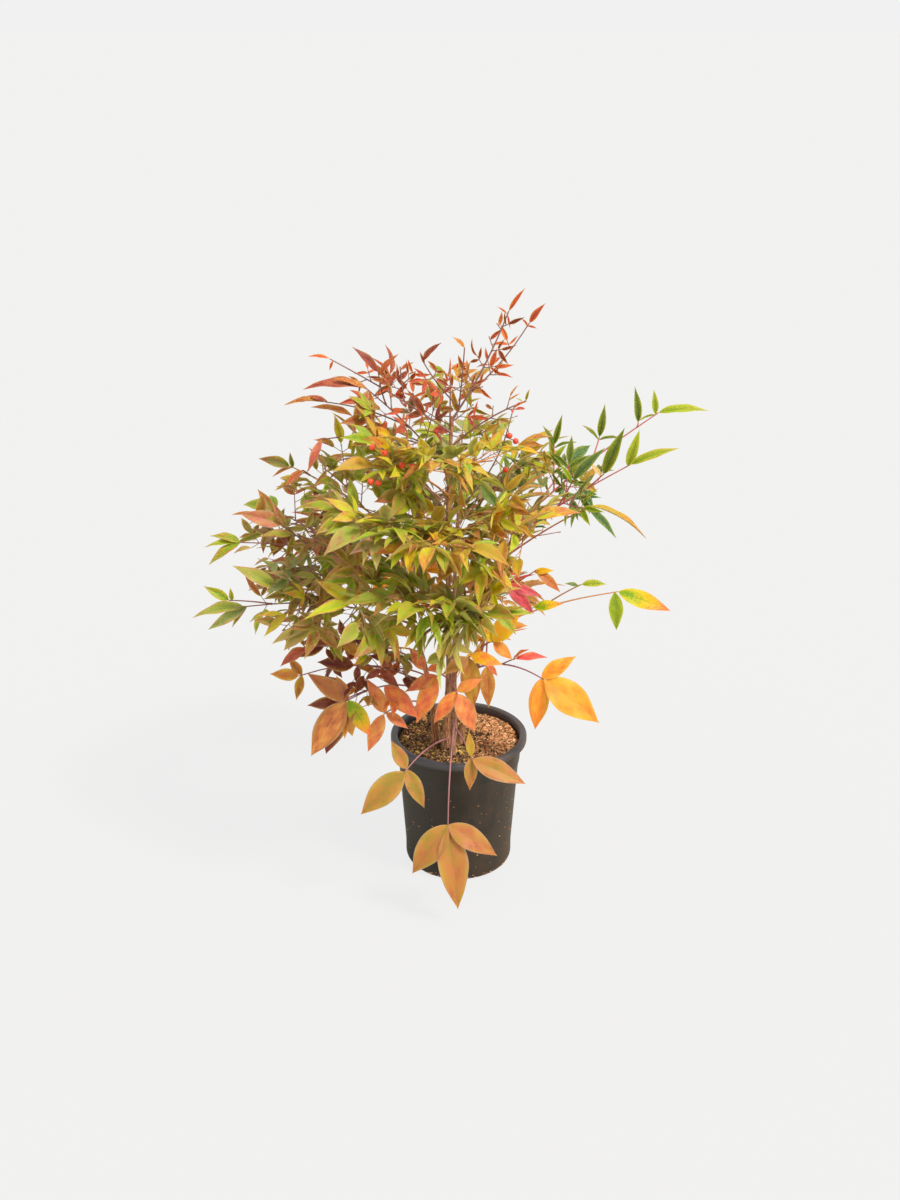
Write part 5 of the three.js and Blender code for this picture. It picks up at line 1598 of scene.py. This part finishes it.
class LeafMesher:
    """Lays leaflets of one form into a draft."""

    RIB_TO = 0.1
    EDGE_FROM = 0.8
    RIB_BACK, EDGE_ON = 1.5, 2.0  # how many colours the midrib lags, and a rimmed edge leads
    PATCHES = ((7, 2.4, 1.0), (15, -3.6, 1.0), (26, 7, 0.7))  # waves along and across, and how strong they are
    RAGGED = 0.12  # how far single faces stray along their strip
    JITTER_SEED = 77
    SWAY = 0.08  # how far to the side the tip goes, of the length
    POSED_SWAY = 0.015
    POSED_ARCH = (0.26, 0.34)
    RIPPLE, RIPPLES = 0.09, 2.1  # how far the edges wave, of half the width, and how often

    def __init__(self, form: LeafForm) -> None:
        """Works out the grid and the faces that every leaflet of a form shares.

        Args:
            form: The form.
        """
        self.form = form
        self.across, inner = len(form.columns), form.rows - 1
        self.low_start = inner * self.across
        self.shares = np.arange(1, form.rows) / form.rows
        self.sides = np.array(form.columns)
        self.under = list(range(1, self.across - 1))
        top, low = self.top, self.low
        root = self.low_start + inner * (self.across - 2)
        tip = root + 1
        self.faces: list[Face] = []
        places = []
        for j in range(self.across - 1):
            middle = (self.sides[j] + self.sides[j + 1]) / 2
            self.faces += [(root, top(0, j), top(0, j + 1)), (root, low(0, j + 1), low(0, j))]
            places.append((0.4 / form.rows, middle))
            for i in range(inner - 1):
                self.faces.append((top(i, j), top(i + 1, j), top(i + 1, j + 1), top(i, j + 1)))
                self.faces.append((low(i, j), low(i, j + 1), low(i + 1, j + 1), low(i + 1, j)))
                places.append(((i + 1.5) / form.rows, middle))
            self.faces.append((tip, top(inner - 1, j + 1), top(inner - 1, j)))
            self.faces.append((tip, low(inner - 1, j), low(inner - 1, j + 1)))
            places.append((1, middle))
        self.face_share, self.face_side = np.repeat(places, 2, axis=0).T
        self.is_top = np.arange(len(self.faces)) % 2 == 0
        chance = Chance(self.JITTER_SEED)
        self.jitter = np.array([chance.between(-0.5, 0.5) for _ in self.faces])

    def top(self, row: int, column: int) -> int:
        """The number of a point of the upper side."""
        return row * self.across + column

    def low(self, row: int, column: int) -> int:
        """The number of a point of the underside, which shares the edges of the upper side."""
        if column in (0, self.across - 1):
            return self.top(row, column)
        return self.low_start + row * (self.across - 2) + column - 1

    def face_slots(self, draft: MeshDraft, paint: Paint, chance: Chance) -> np.ndarray:
        """The slot of every face of a leaflet.

        Args:
            draft: The piece that holds it.
            paint: How it turns colour.
            chance: What places its patches.

        Returns:
            The slots.
        """
        t, s = self.face_share, self.face_side
        patches = sum(
            strength * np.sin(along * t + across * s + chance() * 2 * pi)
            for along, across, strength in self.PATCHES
        )
        strongest = sum(strength for *_, strength in self.PATCHES)
        place = paint.start + paint.tip * t**1.6 + paint.edge * s * s + paint.patch * patches / strongest
        place = place + self.RAGGED * np.roll(self.jitter, int(chance() * len(t)))
        sides = (paint.strip.steps, paint.strip.under_steps)
        on_rib, on_rim = np.abs(s) < self.RIB_TO, paint.rimmed & (np.abs(s) > self.EDGE_FROM)
        index = place * STEPS - self.RIB_BACK * on_rib + self.EDGE_ON * on_rim
        index = np.clip(index.astype(int), 0, STEPS - 1)
        tops, unders = (np.array([draft.slot(LeafSkin(code)) for code in codes]) for codes in sides)
        return np.where(self.is_top, tops[index], unders[index // 2])

    def lay(self, draft: MeshDraft, leaflet: Leaflet, habit: Habit, paint: Paint, chance: Chance) -> None:
        """Adds a leaflet.

        Args:
            draft: The piece that gets it.
            leaflet: Where and how it lies.
            habit: The ranges of its width, bend, arch, fold and twist.
            paint: How it turns colour.
            chance: What gives it its own form and patches.
        """
        form = self.form
        along, left, up = (np.array(v) for v in (leaflet.bearing.along, leaflet.bearing.left, leaflet.bearing.up))
        length = leaflet.length
        bend = 0.0 if leaflet.posed else chance.between(*habit.bend)
        arch = chance.between(*(self.POSED_ARCH if leaflet.posed else habit.arch))
        sway = chance.between(-1, 1) * (self.POSED_SWAY if leaflet.posed else self.SWAY)
        twist = chance.between(-habit.twist, habit.twist)
        fold = chance.between(*habit.fold)
        phase = chance() * 2 * pi
        width = length * habit.slim * chance.between(1 - habit.stray, 1 + habit.stray)
        half = width / 2 * form.half_width(self.shares)[:, None]
        t = self.shares[:, None]
        s = self.sides[None, :]
        slope = arch * (1 - 2 * t) - 2 * bend * t
        normal = (up - slope[..., None] * along) / np.sqrt(1 + slope[..., None] ** 2)
        turn = (twist * t)[..., None]
        across = left * np.cos(turn) + normal * np.sin(turn)
        normal = normal * np.cos(turn) - left * np.sin(turn)
        centre = along * (length * t)[..., None] + left * (length * sway * t * t)[..., None]
        centre = centre + up * (length * (arch * t * (1 - t) - bend * t * t))[..., None]
        flat = 1 / np.sqrt(1 + fold * fold)
        rise = half * flat * fold * (np.abs(s) - form.curl * np.abs(s) ** 3)
        rise = rise + half * self.RIPPLE * s * s * np.sin(2 * pi * self.RIPPLES * t + phase + s)
        bow = 2 * pi * form.veins * (t - 0.3 * np.abs(s))
        rise = rise + form.vein * np.sin(bow) * np.minimum(1, np.abs(s) * 3) * (1 - s * s)
        root = np.array(leaflet.root)
        top = root + centre + across * (half * flat * s)[..., None] + normal * rise[..., None]
        depth = form.thick * (1 - s * s) * np.minimum(1, half / 2) + form.rib * (np.abs(s) < self.RIB_TO)
        low = (top - normal * depth[..., None])[:, self.under]
        tip = root + along * length + left * length * sway - up * length * bend
        points = np.concatenate([top.reshape(-1, 3), low.reshape(-1, 3), [root, tip]])
        draft.add(points, self.faces, self.face_slots(draft, paint, chance).tolist())


@dataclass(frozen=True)
class Opening:
    """Where one can look through the crown from the front: its middle and half its sizes, over the pot's middle."""

    x: float
    z: float
    half_width: float
    half_height: float


OPENINGS = {
    "beside the tall cane": Opening(-24, 492, 8, 15),
    "right of the tall cane, high": Opening(34, 516, 15, 15),
    "left of the middle": Opening(-104, 475, 10, 10),
    "left between high and mid": Opening(-194, 470, 10, 11),
    "under the left crest": Opening(-133, 531, 12, 7),
    "low left of the middle": Opening(-134, 325, 9, 17),
    "under right_low": Opening(111, 421, 23, 19),
    "right edge of the front": Opening(76, 407, 13, 15),
    "outside above left_mid": Opening(-213, 496, 9, 17),
    "under left_low": Opening(-229, 296, 11, 18),
    "above left_high": Opening(-157, 555, 10, 12),
    "above back_high, right": Opening(62, 545, 18, 11),
    "under right_mid": Opening(168, 477, 9, 12),
    "between crest and plume": Opening(-21, 640, 13, 12),
    "left of the crest": Opening(-66, 647, 9, 12),
    "beside the right sprig": Opening(44, 595, 10, 11),
    "left of the plume": Opening(28, 672, 5, 19),
    "right of the plume": Opening(73, 642, 11, 9),
    "left between mid and low": Opening(-253, 397, 12, 9),
    "over the arm of left_high": Opening(-178, 527, 11, 10),
    "above the plum leaves": Opening(-165, 280, 10, 8),
}
LOOKED_FROM = Vector((-10.6, -1472, 973))  # the place from which the openings line up


def in_opening(point: Vector) -> bool:
    """Whether a point lies in one of the openings.

    Args:
        point: The point.

    Returns:
        True if a leaf there would close it.
    """
    place = LOOKED_FROM + (point - LOOKED_FROM) * (LOOKED_FROM.y / (LOOKED_FROM.y - point.y))
    return any(
        ((place.x - o.x) / o.half_width) ** 2 + ((place.z - o.z) / o.half_height) ** 2 < 1
        for o in OPENINGS.values()
    )


class Crowd:
    """Where leaves already hang, so that the next ones keep out of them, of the canes and of the pot."""

    CELL = 10.0
    NEXT = (-1, 0, 1)  # from a cell to itself and its neighbours
    FLOOR_GAP = 4
    SAMPLES = (0.3, 0.6, 0.9)
    BEND = 0.14
    ARCH = 0.3  # of the posed ones, which don't bend

    def __init__(self, pot: NurseryPot, gap: float = 2.6, cane_gap: float = 2.0) -> None:
        """Starts with the canes and the pot.

        Args:
            pot: The pot.
            gap: The least distance between leaflets of two sprays, where it is sampled.
            cane_gap: The least distance from the bark of a cane.
        """
        self.pot, self.gap, self.cane_gap = pot, gap, cane_gap
        self.cells: dict[tuple[int, int, int], list[tuple[Vector, str]]] = {}

    def cell(self, point: Vector) -> tuple[int, int, int]:
        """The cell that holds a point."""
        return tuple(int(c // self.CELL) for c in point)

    def near_limb(self, point: Vector) -> bool:
        """Whether a point is in or near a cane or the pot.

        Args:
            point: The point.

        Returns:
            True if no leaf may be there.
        """
        pot, reach = self.pot, hypot(point.x, point.y)
        if point.z < pot.height + 1 and reach < pot.rim_radius + 2.5:
            wall = pot.rim_radius if point.z > pot.height - 10 else pot.wall_radius(max(point.z, 9))
            if reach < wall + 1.5 and (reach > 40 or point.z < pot.height - 8):
                return True
        for cane in CANES.values():
            if cane.base < point.z < cane.top:
                share = (point.z - cane.base) / (cane.top - cane.base)
                if (cane.point(share) - point).length < cane.radius_at(share) + self.cane_gap:
                    return True
        return False

    def takes(self, leaflet: Leaflet, owner: str) -> bool:
        """Whether there is room for a leaflet, which then takes it.

        Args:
            leaflet: The leaflet. A posed one hangs wherever it is posed.
            owner: Its frond and spray, within which leaflets may touch.

        Returns:
            True if it may hang there.
        """
        spots = []
        for share in self.SAMPLES:
            rise = self.ARCH * share * (1 - share) if leaflet.posed else -self.BEND * share * share
            course = leaflet.bearing.along * share + leaflet.bearing.up * rise
            spots.append(leaflet.root + course * leaflet.length)
        if not leaflet.posed:
            if spots[-1].z < self.FLOOR_GAP or any(self.near_limb(spot) or in_opening(spot) for spot in spots):
                return False
            for spot in spots:
                x, y, z = self.cell(spot)
                for key in [(x + a, y + b, z + c) for a in self.NEXT for b in self.NEXT for c in self.NEXT]:
                    for other, whose in self.cells.get(key, ()):
                        if whose != owner and (other - spot).length < self.gap:
                            return False
        for spot in spots:
            self.cells.setdefault(self.cell(spot), []).append((spot, owner))
        return True


class Foliage:
    """All the compound leaves: leaflets and stalks, frond by frond."""

    LARGE_FROM = 44  # mm, of the posed ones
    SMALL_TO = 26  # mm
    SEED = 2000
    START_STRAY = (-0.1, 0.1)  # by which a leaflet's heart strays from its spray's
    TIP, EDGE, PATCH = (0.1, 1.6), (0.0, 1.8), (0.4, 1.2)  # how far leaflets differ in these, of the dress's own
    RIMMED_SHARE = 0.3

    def __init__(self, pot: NurseryPot) -> None:
        """Grows every frond: posed sprays take their room first, and the finer twigs last.

        Args:
            pot: The pot, which leaves keep out of.
        """
        crowd = Crowd(pot)
        grown = [Grower(frond, i + 1).grow() for i, frond in enumerate(FRONDS)]
        self.leaflets: list[list[Leaflet]] = [[] for _ in FRONDS]
        for stage in range(3):
            for i, growths in enumerate(grown):
                self.leaflets[i] += [
                    leaflet for leaflet in growths[stage].leaflets if crowd.takes(leaflet, f"{i} {leaflet.spray}")
                ]
        self.stalks: list[list[Twig]] = []
        for growths, leaflets in zip(grown, self.leaflets):
            kept = {leaflet.spray for leaflet in leaflets}
            twigs = [twig for growth in growths for twig in growth.stalks]
            self.stalks.append([twig for twig in twigs if twig.sprays is None or twig.sprays & kept])
        self.forms = [LeafMesher(form) for form in (SMALL_LEAF, MIDDLE_LEAF, LARGE_LEAF)]

    def mesher(self, leaflet: Leaflet) -> LeafMesher:
        """The mesher of the form that a leaflet has."""
        small, middle, large = self.forms
        if leaflet.posed and leaflet.length > self.LARGE_FROM:
            return large
        return small if leaflet.length < self.SMALL_TO else middle

    def frond(self, frond: Frond, leaflets: list[Leaflet], stalks: list[Twig], seed: int) -> None:
        """Makes a frond's leaflets as one piece and its stalks as another.

        Args:
            frond: The frond.
            leaflets: Its leaflets.
            stalks: Its stalks and twigs.
            seed: What its colours and bends are drawn from.
        """
        dress: Dress = frond.wear.value
        chance = Chance(self.SEED + seed)
        leaves, wood = MeshDraft(), MeshDraft()
        dealt: dict[str, tuple[Strip, float]] = {}
        for leaflet in leaflets:
            if leaflet.spray not in dealt:
                dealt[leaflet.spray] = (chance.pick(strips(dress.strips)), chance.between(*dress.start))
            strip, start = dealt[leaflet.spray]
            paint = Paint(
                leaflet.strip or strip,
                start + chance.between(*self.START_STRAY),
                dress.tip * chance.between(*self.TIP),
                dress.edge * chance.between(*self.EDGE),
                dress.patch * chance.between(*self.PATCH),
                chance() < self.RIMMED_SHARE,
            )
            if leaflet.strip is Strip.TURNING:  # from green at its foot to red at its tip
                paint = replace(paint, start=0.0, tip=1.05, patch=0.1)
            self.mesher(leaflet).lay(leaves, leaflet, frond.habit, paint, chance)
        for twig in stalks:
            sides = 6 if twig.radii[1] > 0.6 else 5
            wood.add_tube(twig.line, twig.radii, wood.slot(StalkRind(dress.stalk)), sides)
        leaves.piece(f"{frond.name}_leaflets", dress.slot, [frond.name])
        wood.piece(f"{frond.name}_stalks", dress.slot)

    def build(self) -> None:
        """Makes every frond."""
        for i, frond in enumerate(FRONDS):
            self.frond(frond, self.leaflets[i], self.stalks[i], i)
        log.info("%d leaflets", sum(len(leaflets) for leaflets in self.leaflets))


# ---- Fruit ----


@dataclass(frozen=True)
class Panicle:
    """A bare fruiting stalk with twigs that end in a berry."""

    name: str
    cane: str
    at: float
    to: Triple
    sag: float
    berries: tuple[tuple[float, float, float, float], ...]  # the share where a twig leaves, and where its berry is


PANICLES = [
    Panicle("right", "tall", 452, (58, -8, 575), -44, (
        (0.6, 51, -16, 511), (0.8, 62, -12, 543), (0.86, 55, -12, 549),
    )),
    Panicle("left", "tall", 458, (-82, -94, 560), 10, (
        (0.66, -50, -100, 541), (0.72, -61, -98, 542), (0.8, -94, -104, 526),
        (0.82, -86, -106, 525), (0.92, -79, -96, 555), (0.97, -92, -96, 561),
    )),
]


@dataclass
class Fruit:
    """Panicles of berries on grey-brown stalks, with the buds that never set."""

    berry_radius: float = 3.5
    subdivisions: int = 2
    dimple: float = 0.16  # its depth, of the radius
    dimple_from: float = 0.8  # the cosine of half the angle that it takes up
    style: str = "4e3826"
    rind: str = "9a8068"
    radii: Span = (1.3, 0.7)  # of the stalk, at its cane and at its tip
    buds: int = 9
    buds_from: float = 0.55  # of the stalk
    bud_step: float = 0.05
    bud_turn: float = 58  # degrees from the stalk
    bud_reach: Span = (4, 9)
    bud_radius: float = 0.9
    seed: int = 3000

    def berry(self, draft: MeshDraft, centre: Vector, along: Vector) -> None:
        """Adds a berry that is dimpled at its far end, where the dark style sits.

        Args:
            draft: The piece that gets it.
            centre: Its middle.
            along: The way from its twig to its far end.
        """
        ball = bmesh.new()
        bmesh.ops.create_icosphere(ball, subdivisions=self.subdivisions, radius=1.0)
        points = []
        for vertex in ball.verts:
            facing = vertex.co.dot(along)
            dimple = self.dimple * max(0.0, facing - self.dimple_from) / (1 - self.dimple_from)
            points.append(centre + vertex.co * self.berry_radius * (1 - dimple))
        faces = [tuple(v.index for v in face.verts) for face in ball.faces]
        ball.free()
        draft.add(np.array(points), faces, draft.slot(BerrySkin()))
        tip = centre + along * self.berry_radius * self.dimple_from
        dark = draft.slot(StalkRind(self.style))
        draft.add_tube([tip, tip + along * 0.6, tip + along * 1.0], [0.8, 0.6, 0.2], dark, 6)

    def panicle(self, panicle: Panicle, seed: int) -> None:
        """Makes one panicle in place of its solid: a piece of stalks and a piece of berries.

        Args:
            panicle: Its stalk and its berries.
            seed: What turns its buds.
        """
        extra = Chance(seed + self.seed)
        stalk = Stalk(CANES[panicle.cane].at_height(panicle.at), Vector(panicle.to), panicle.sag)
        wood, berries = MeshDraft(), MeshDraft()
        skin = wood.slot(StalkRind(self.rind))
        line = stalk.line()
        wood.add_tube(line, np.linspace(*self.radii, len(line)), skin)
        for share, *place in panicle.berries:
            point, end = stalk.point(share), Vector(place)
            along = (end - point).normalized()
            wood.add_tube([point, point.lerp(end, 0.5), end], [0.8, 0.6, 0.7], skin, 5)
            self.berry(berries, end, along)
        for i in range(self.buds):
            share = self.buds_from + self.bud_step * i
            lie = stalk.bearing(share).rolled(extra() * pi)
            start = stalk.point(share)
            turn = radians(self.bud_turn if i % 2 else -self.bud_turn)
            end = start + lie.to_left(turn) * extra.between(*self.bud_reach)
            wood.add_tube([start, start.lerp(end, 0.5), end], [0.55, 0.42, 0.4], skin, 5)
            bud = [end, end + (end - start).normalized() * 0.8, end + (end - start).normalized() * 1.8]
            wood.add_tube(bud, [0.4, self.bud_radius, 0.3], skin, 6)
        wood.piece(f"fruit_{panicle.name}_stalks", "berry", [f"fruit_{panicle.name}"])
        berries.piece(f"fruit_{panicle.name}_berries", "berry")

    def build(self) -> None:
        """Makes both panicles."""
        for i, panicle in enumerate(PANICLES):
            self.panicle(panicle, len(FRONDS) + i + 1)


# ---- Studio ----


@dataclass
class Studio:
    """A pale seamless floor under a soft bright dome, with one broad warm lamp."""

    target: Triple = (-10.6, 0, 347)
    distance: float = 1600
    elevation: float = 23.05
    lens: float = 41.04
    floor_radius: float = 120_000  # so far out that its edge is above the view
    floor_sides: int = 64
    dome_low: float = 0.8
    dome_high: float = 1.15
    dome_tint: Triple = (1, 0.98, 0.94)
    dome_seen: str = "f1f1f1"
    sun_strength: float = 3.0
    sun_width: float = 14  # degrees
    sun_tint: Triple = (1.0, 0.93, 0.8)
    sun_from: Triple = (0.62, -0.42, 0.9)

    def camera(self) -> None:
        """The camera, level from side to side, that looks down on the crown."""
        data = bpy.data.cameras.new("camera")
        data.lens = self.lens
        data.sensor_width = 36
        made = placed("camera", data)
        tilt = radians(self.elevation)
        back = Vector((0, -cos(tilt), sin(tilt)))
        made.location = (Vector(self.target) + back * self.distance) * MM
        made.rotation_euler = (-back).to_track_quat("-Z", "Y").to_euler()
        data.clip_end = 1000
        bpy.context.scene.camera = made

    def floor(self) -> None:
        """A wide disc of paper just under the pot."""
        mesh = bpy.data.meshes.new("floor")
        turns = [2 * pi * k / self.floor_sides for k in range(self.floor_sides)]
        points = [(self.floor_radius * MM * cos(t), self.floor_radius * MM * sin(t), 0) for t in turns]
        mesh.from_pydata(points, [], [tuple(range(self.floor_sides))])
        mesh.materials.append(StudioPaper().material())
        made = placed("floor", mesh)
        made.location.z = -0.2 * MM

    def dome(self) -> None:
        """Light from all round, brighter from above. Looked at, it is as pale as the floor."""
        world = bpy.data.worlds.new("dome")
        bpy.context.scene.world = world
        world.use_nodes = True
        tree = world.node_tree
        place = add_node(tree, "ShaderNodeTexCoord").outputs["Generated"]
        height = add_node(tree, "ShaderNodeSeparateXYZ", {"Vector": place}).outputs["Z"]
        span = {"Value": height, "To Min": self.dome_low, "To Max": self.dome_high}
        strength = add_node(tree, "ShaderNodeMapRange", span).outputs[0]
        light = tree.nodes["Background"]
        fill(light, {"Color": (*self.dome_tint, 1), "Strength": strength})
        plain = add_node(tree, "ShaderNodeBackground", {"Color": linear(self.dome_seen)})
        seen = add_node(tree, "ShaderNodeLightPath").outputs["Is Camera Ray"]
        both = add_node(tree, "ShaderNodeMixShader", {"Fac": seen, 1: light.outputs[0], 2: plain.outputs[0]})
        fill(tree.nodes["World Output"], {"Surface": both.outputs[0]})

    def lamp(self) -> None:
        """A broad warm sun from the upper right, in front."""
        data = bpy.data.lights.new("sun", "SUN")
        data.energy = self.sun_strength
        data.angle = radians(self.sun_width)
        data.color = self.sun_tint
        made = placed("sun", data)
        made.rotation_euler = Vector(self.sun_from).to_track_quat("Z", "Y").to_euler()

    def build(self) -> None:
        """Sets up floor, light and camera, with colours shown as they are."""
        self.floor()
        self.dome()
        self.lamp()
        self.camera()
        bpy.context.scene.view_settings.view_transform = "Standard"


def write_sizes() -> None:
    """Brings the placement of every object up to date."""
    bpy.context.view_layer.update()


def main() -> None:
    """Builds the studio, the pot with its mix, the canes, the fronds and the fruit."""
    logging.basicConfig(level=logging.INFO, format="%(message)s")
    Studio().build()
    pot = NurseryPot()
    pot.build()
    PottingMix(pot).build()
    Bark().build()
    Foliage(pot).build()
    Fruit().build()
    write_sizes()


if __name__ == "__main__":
    main()
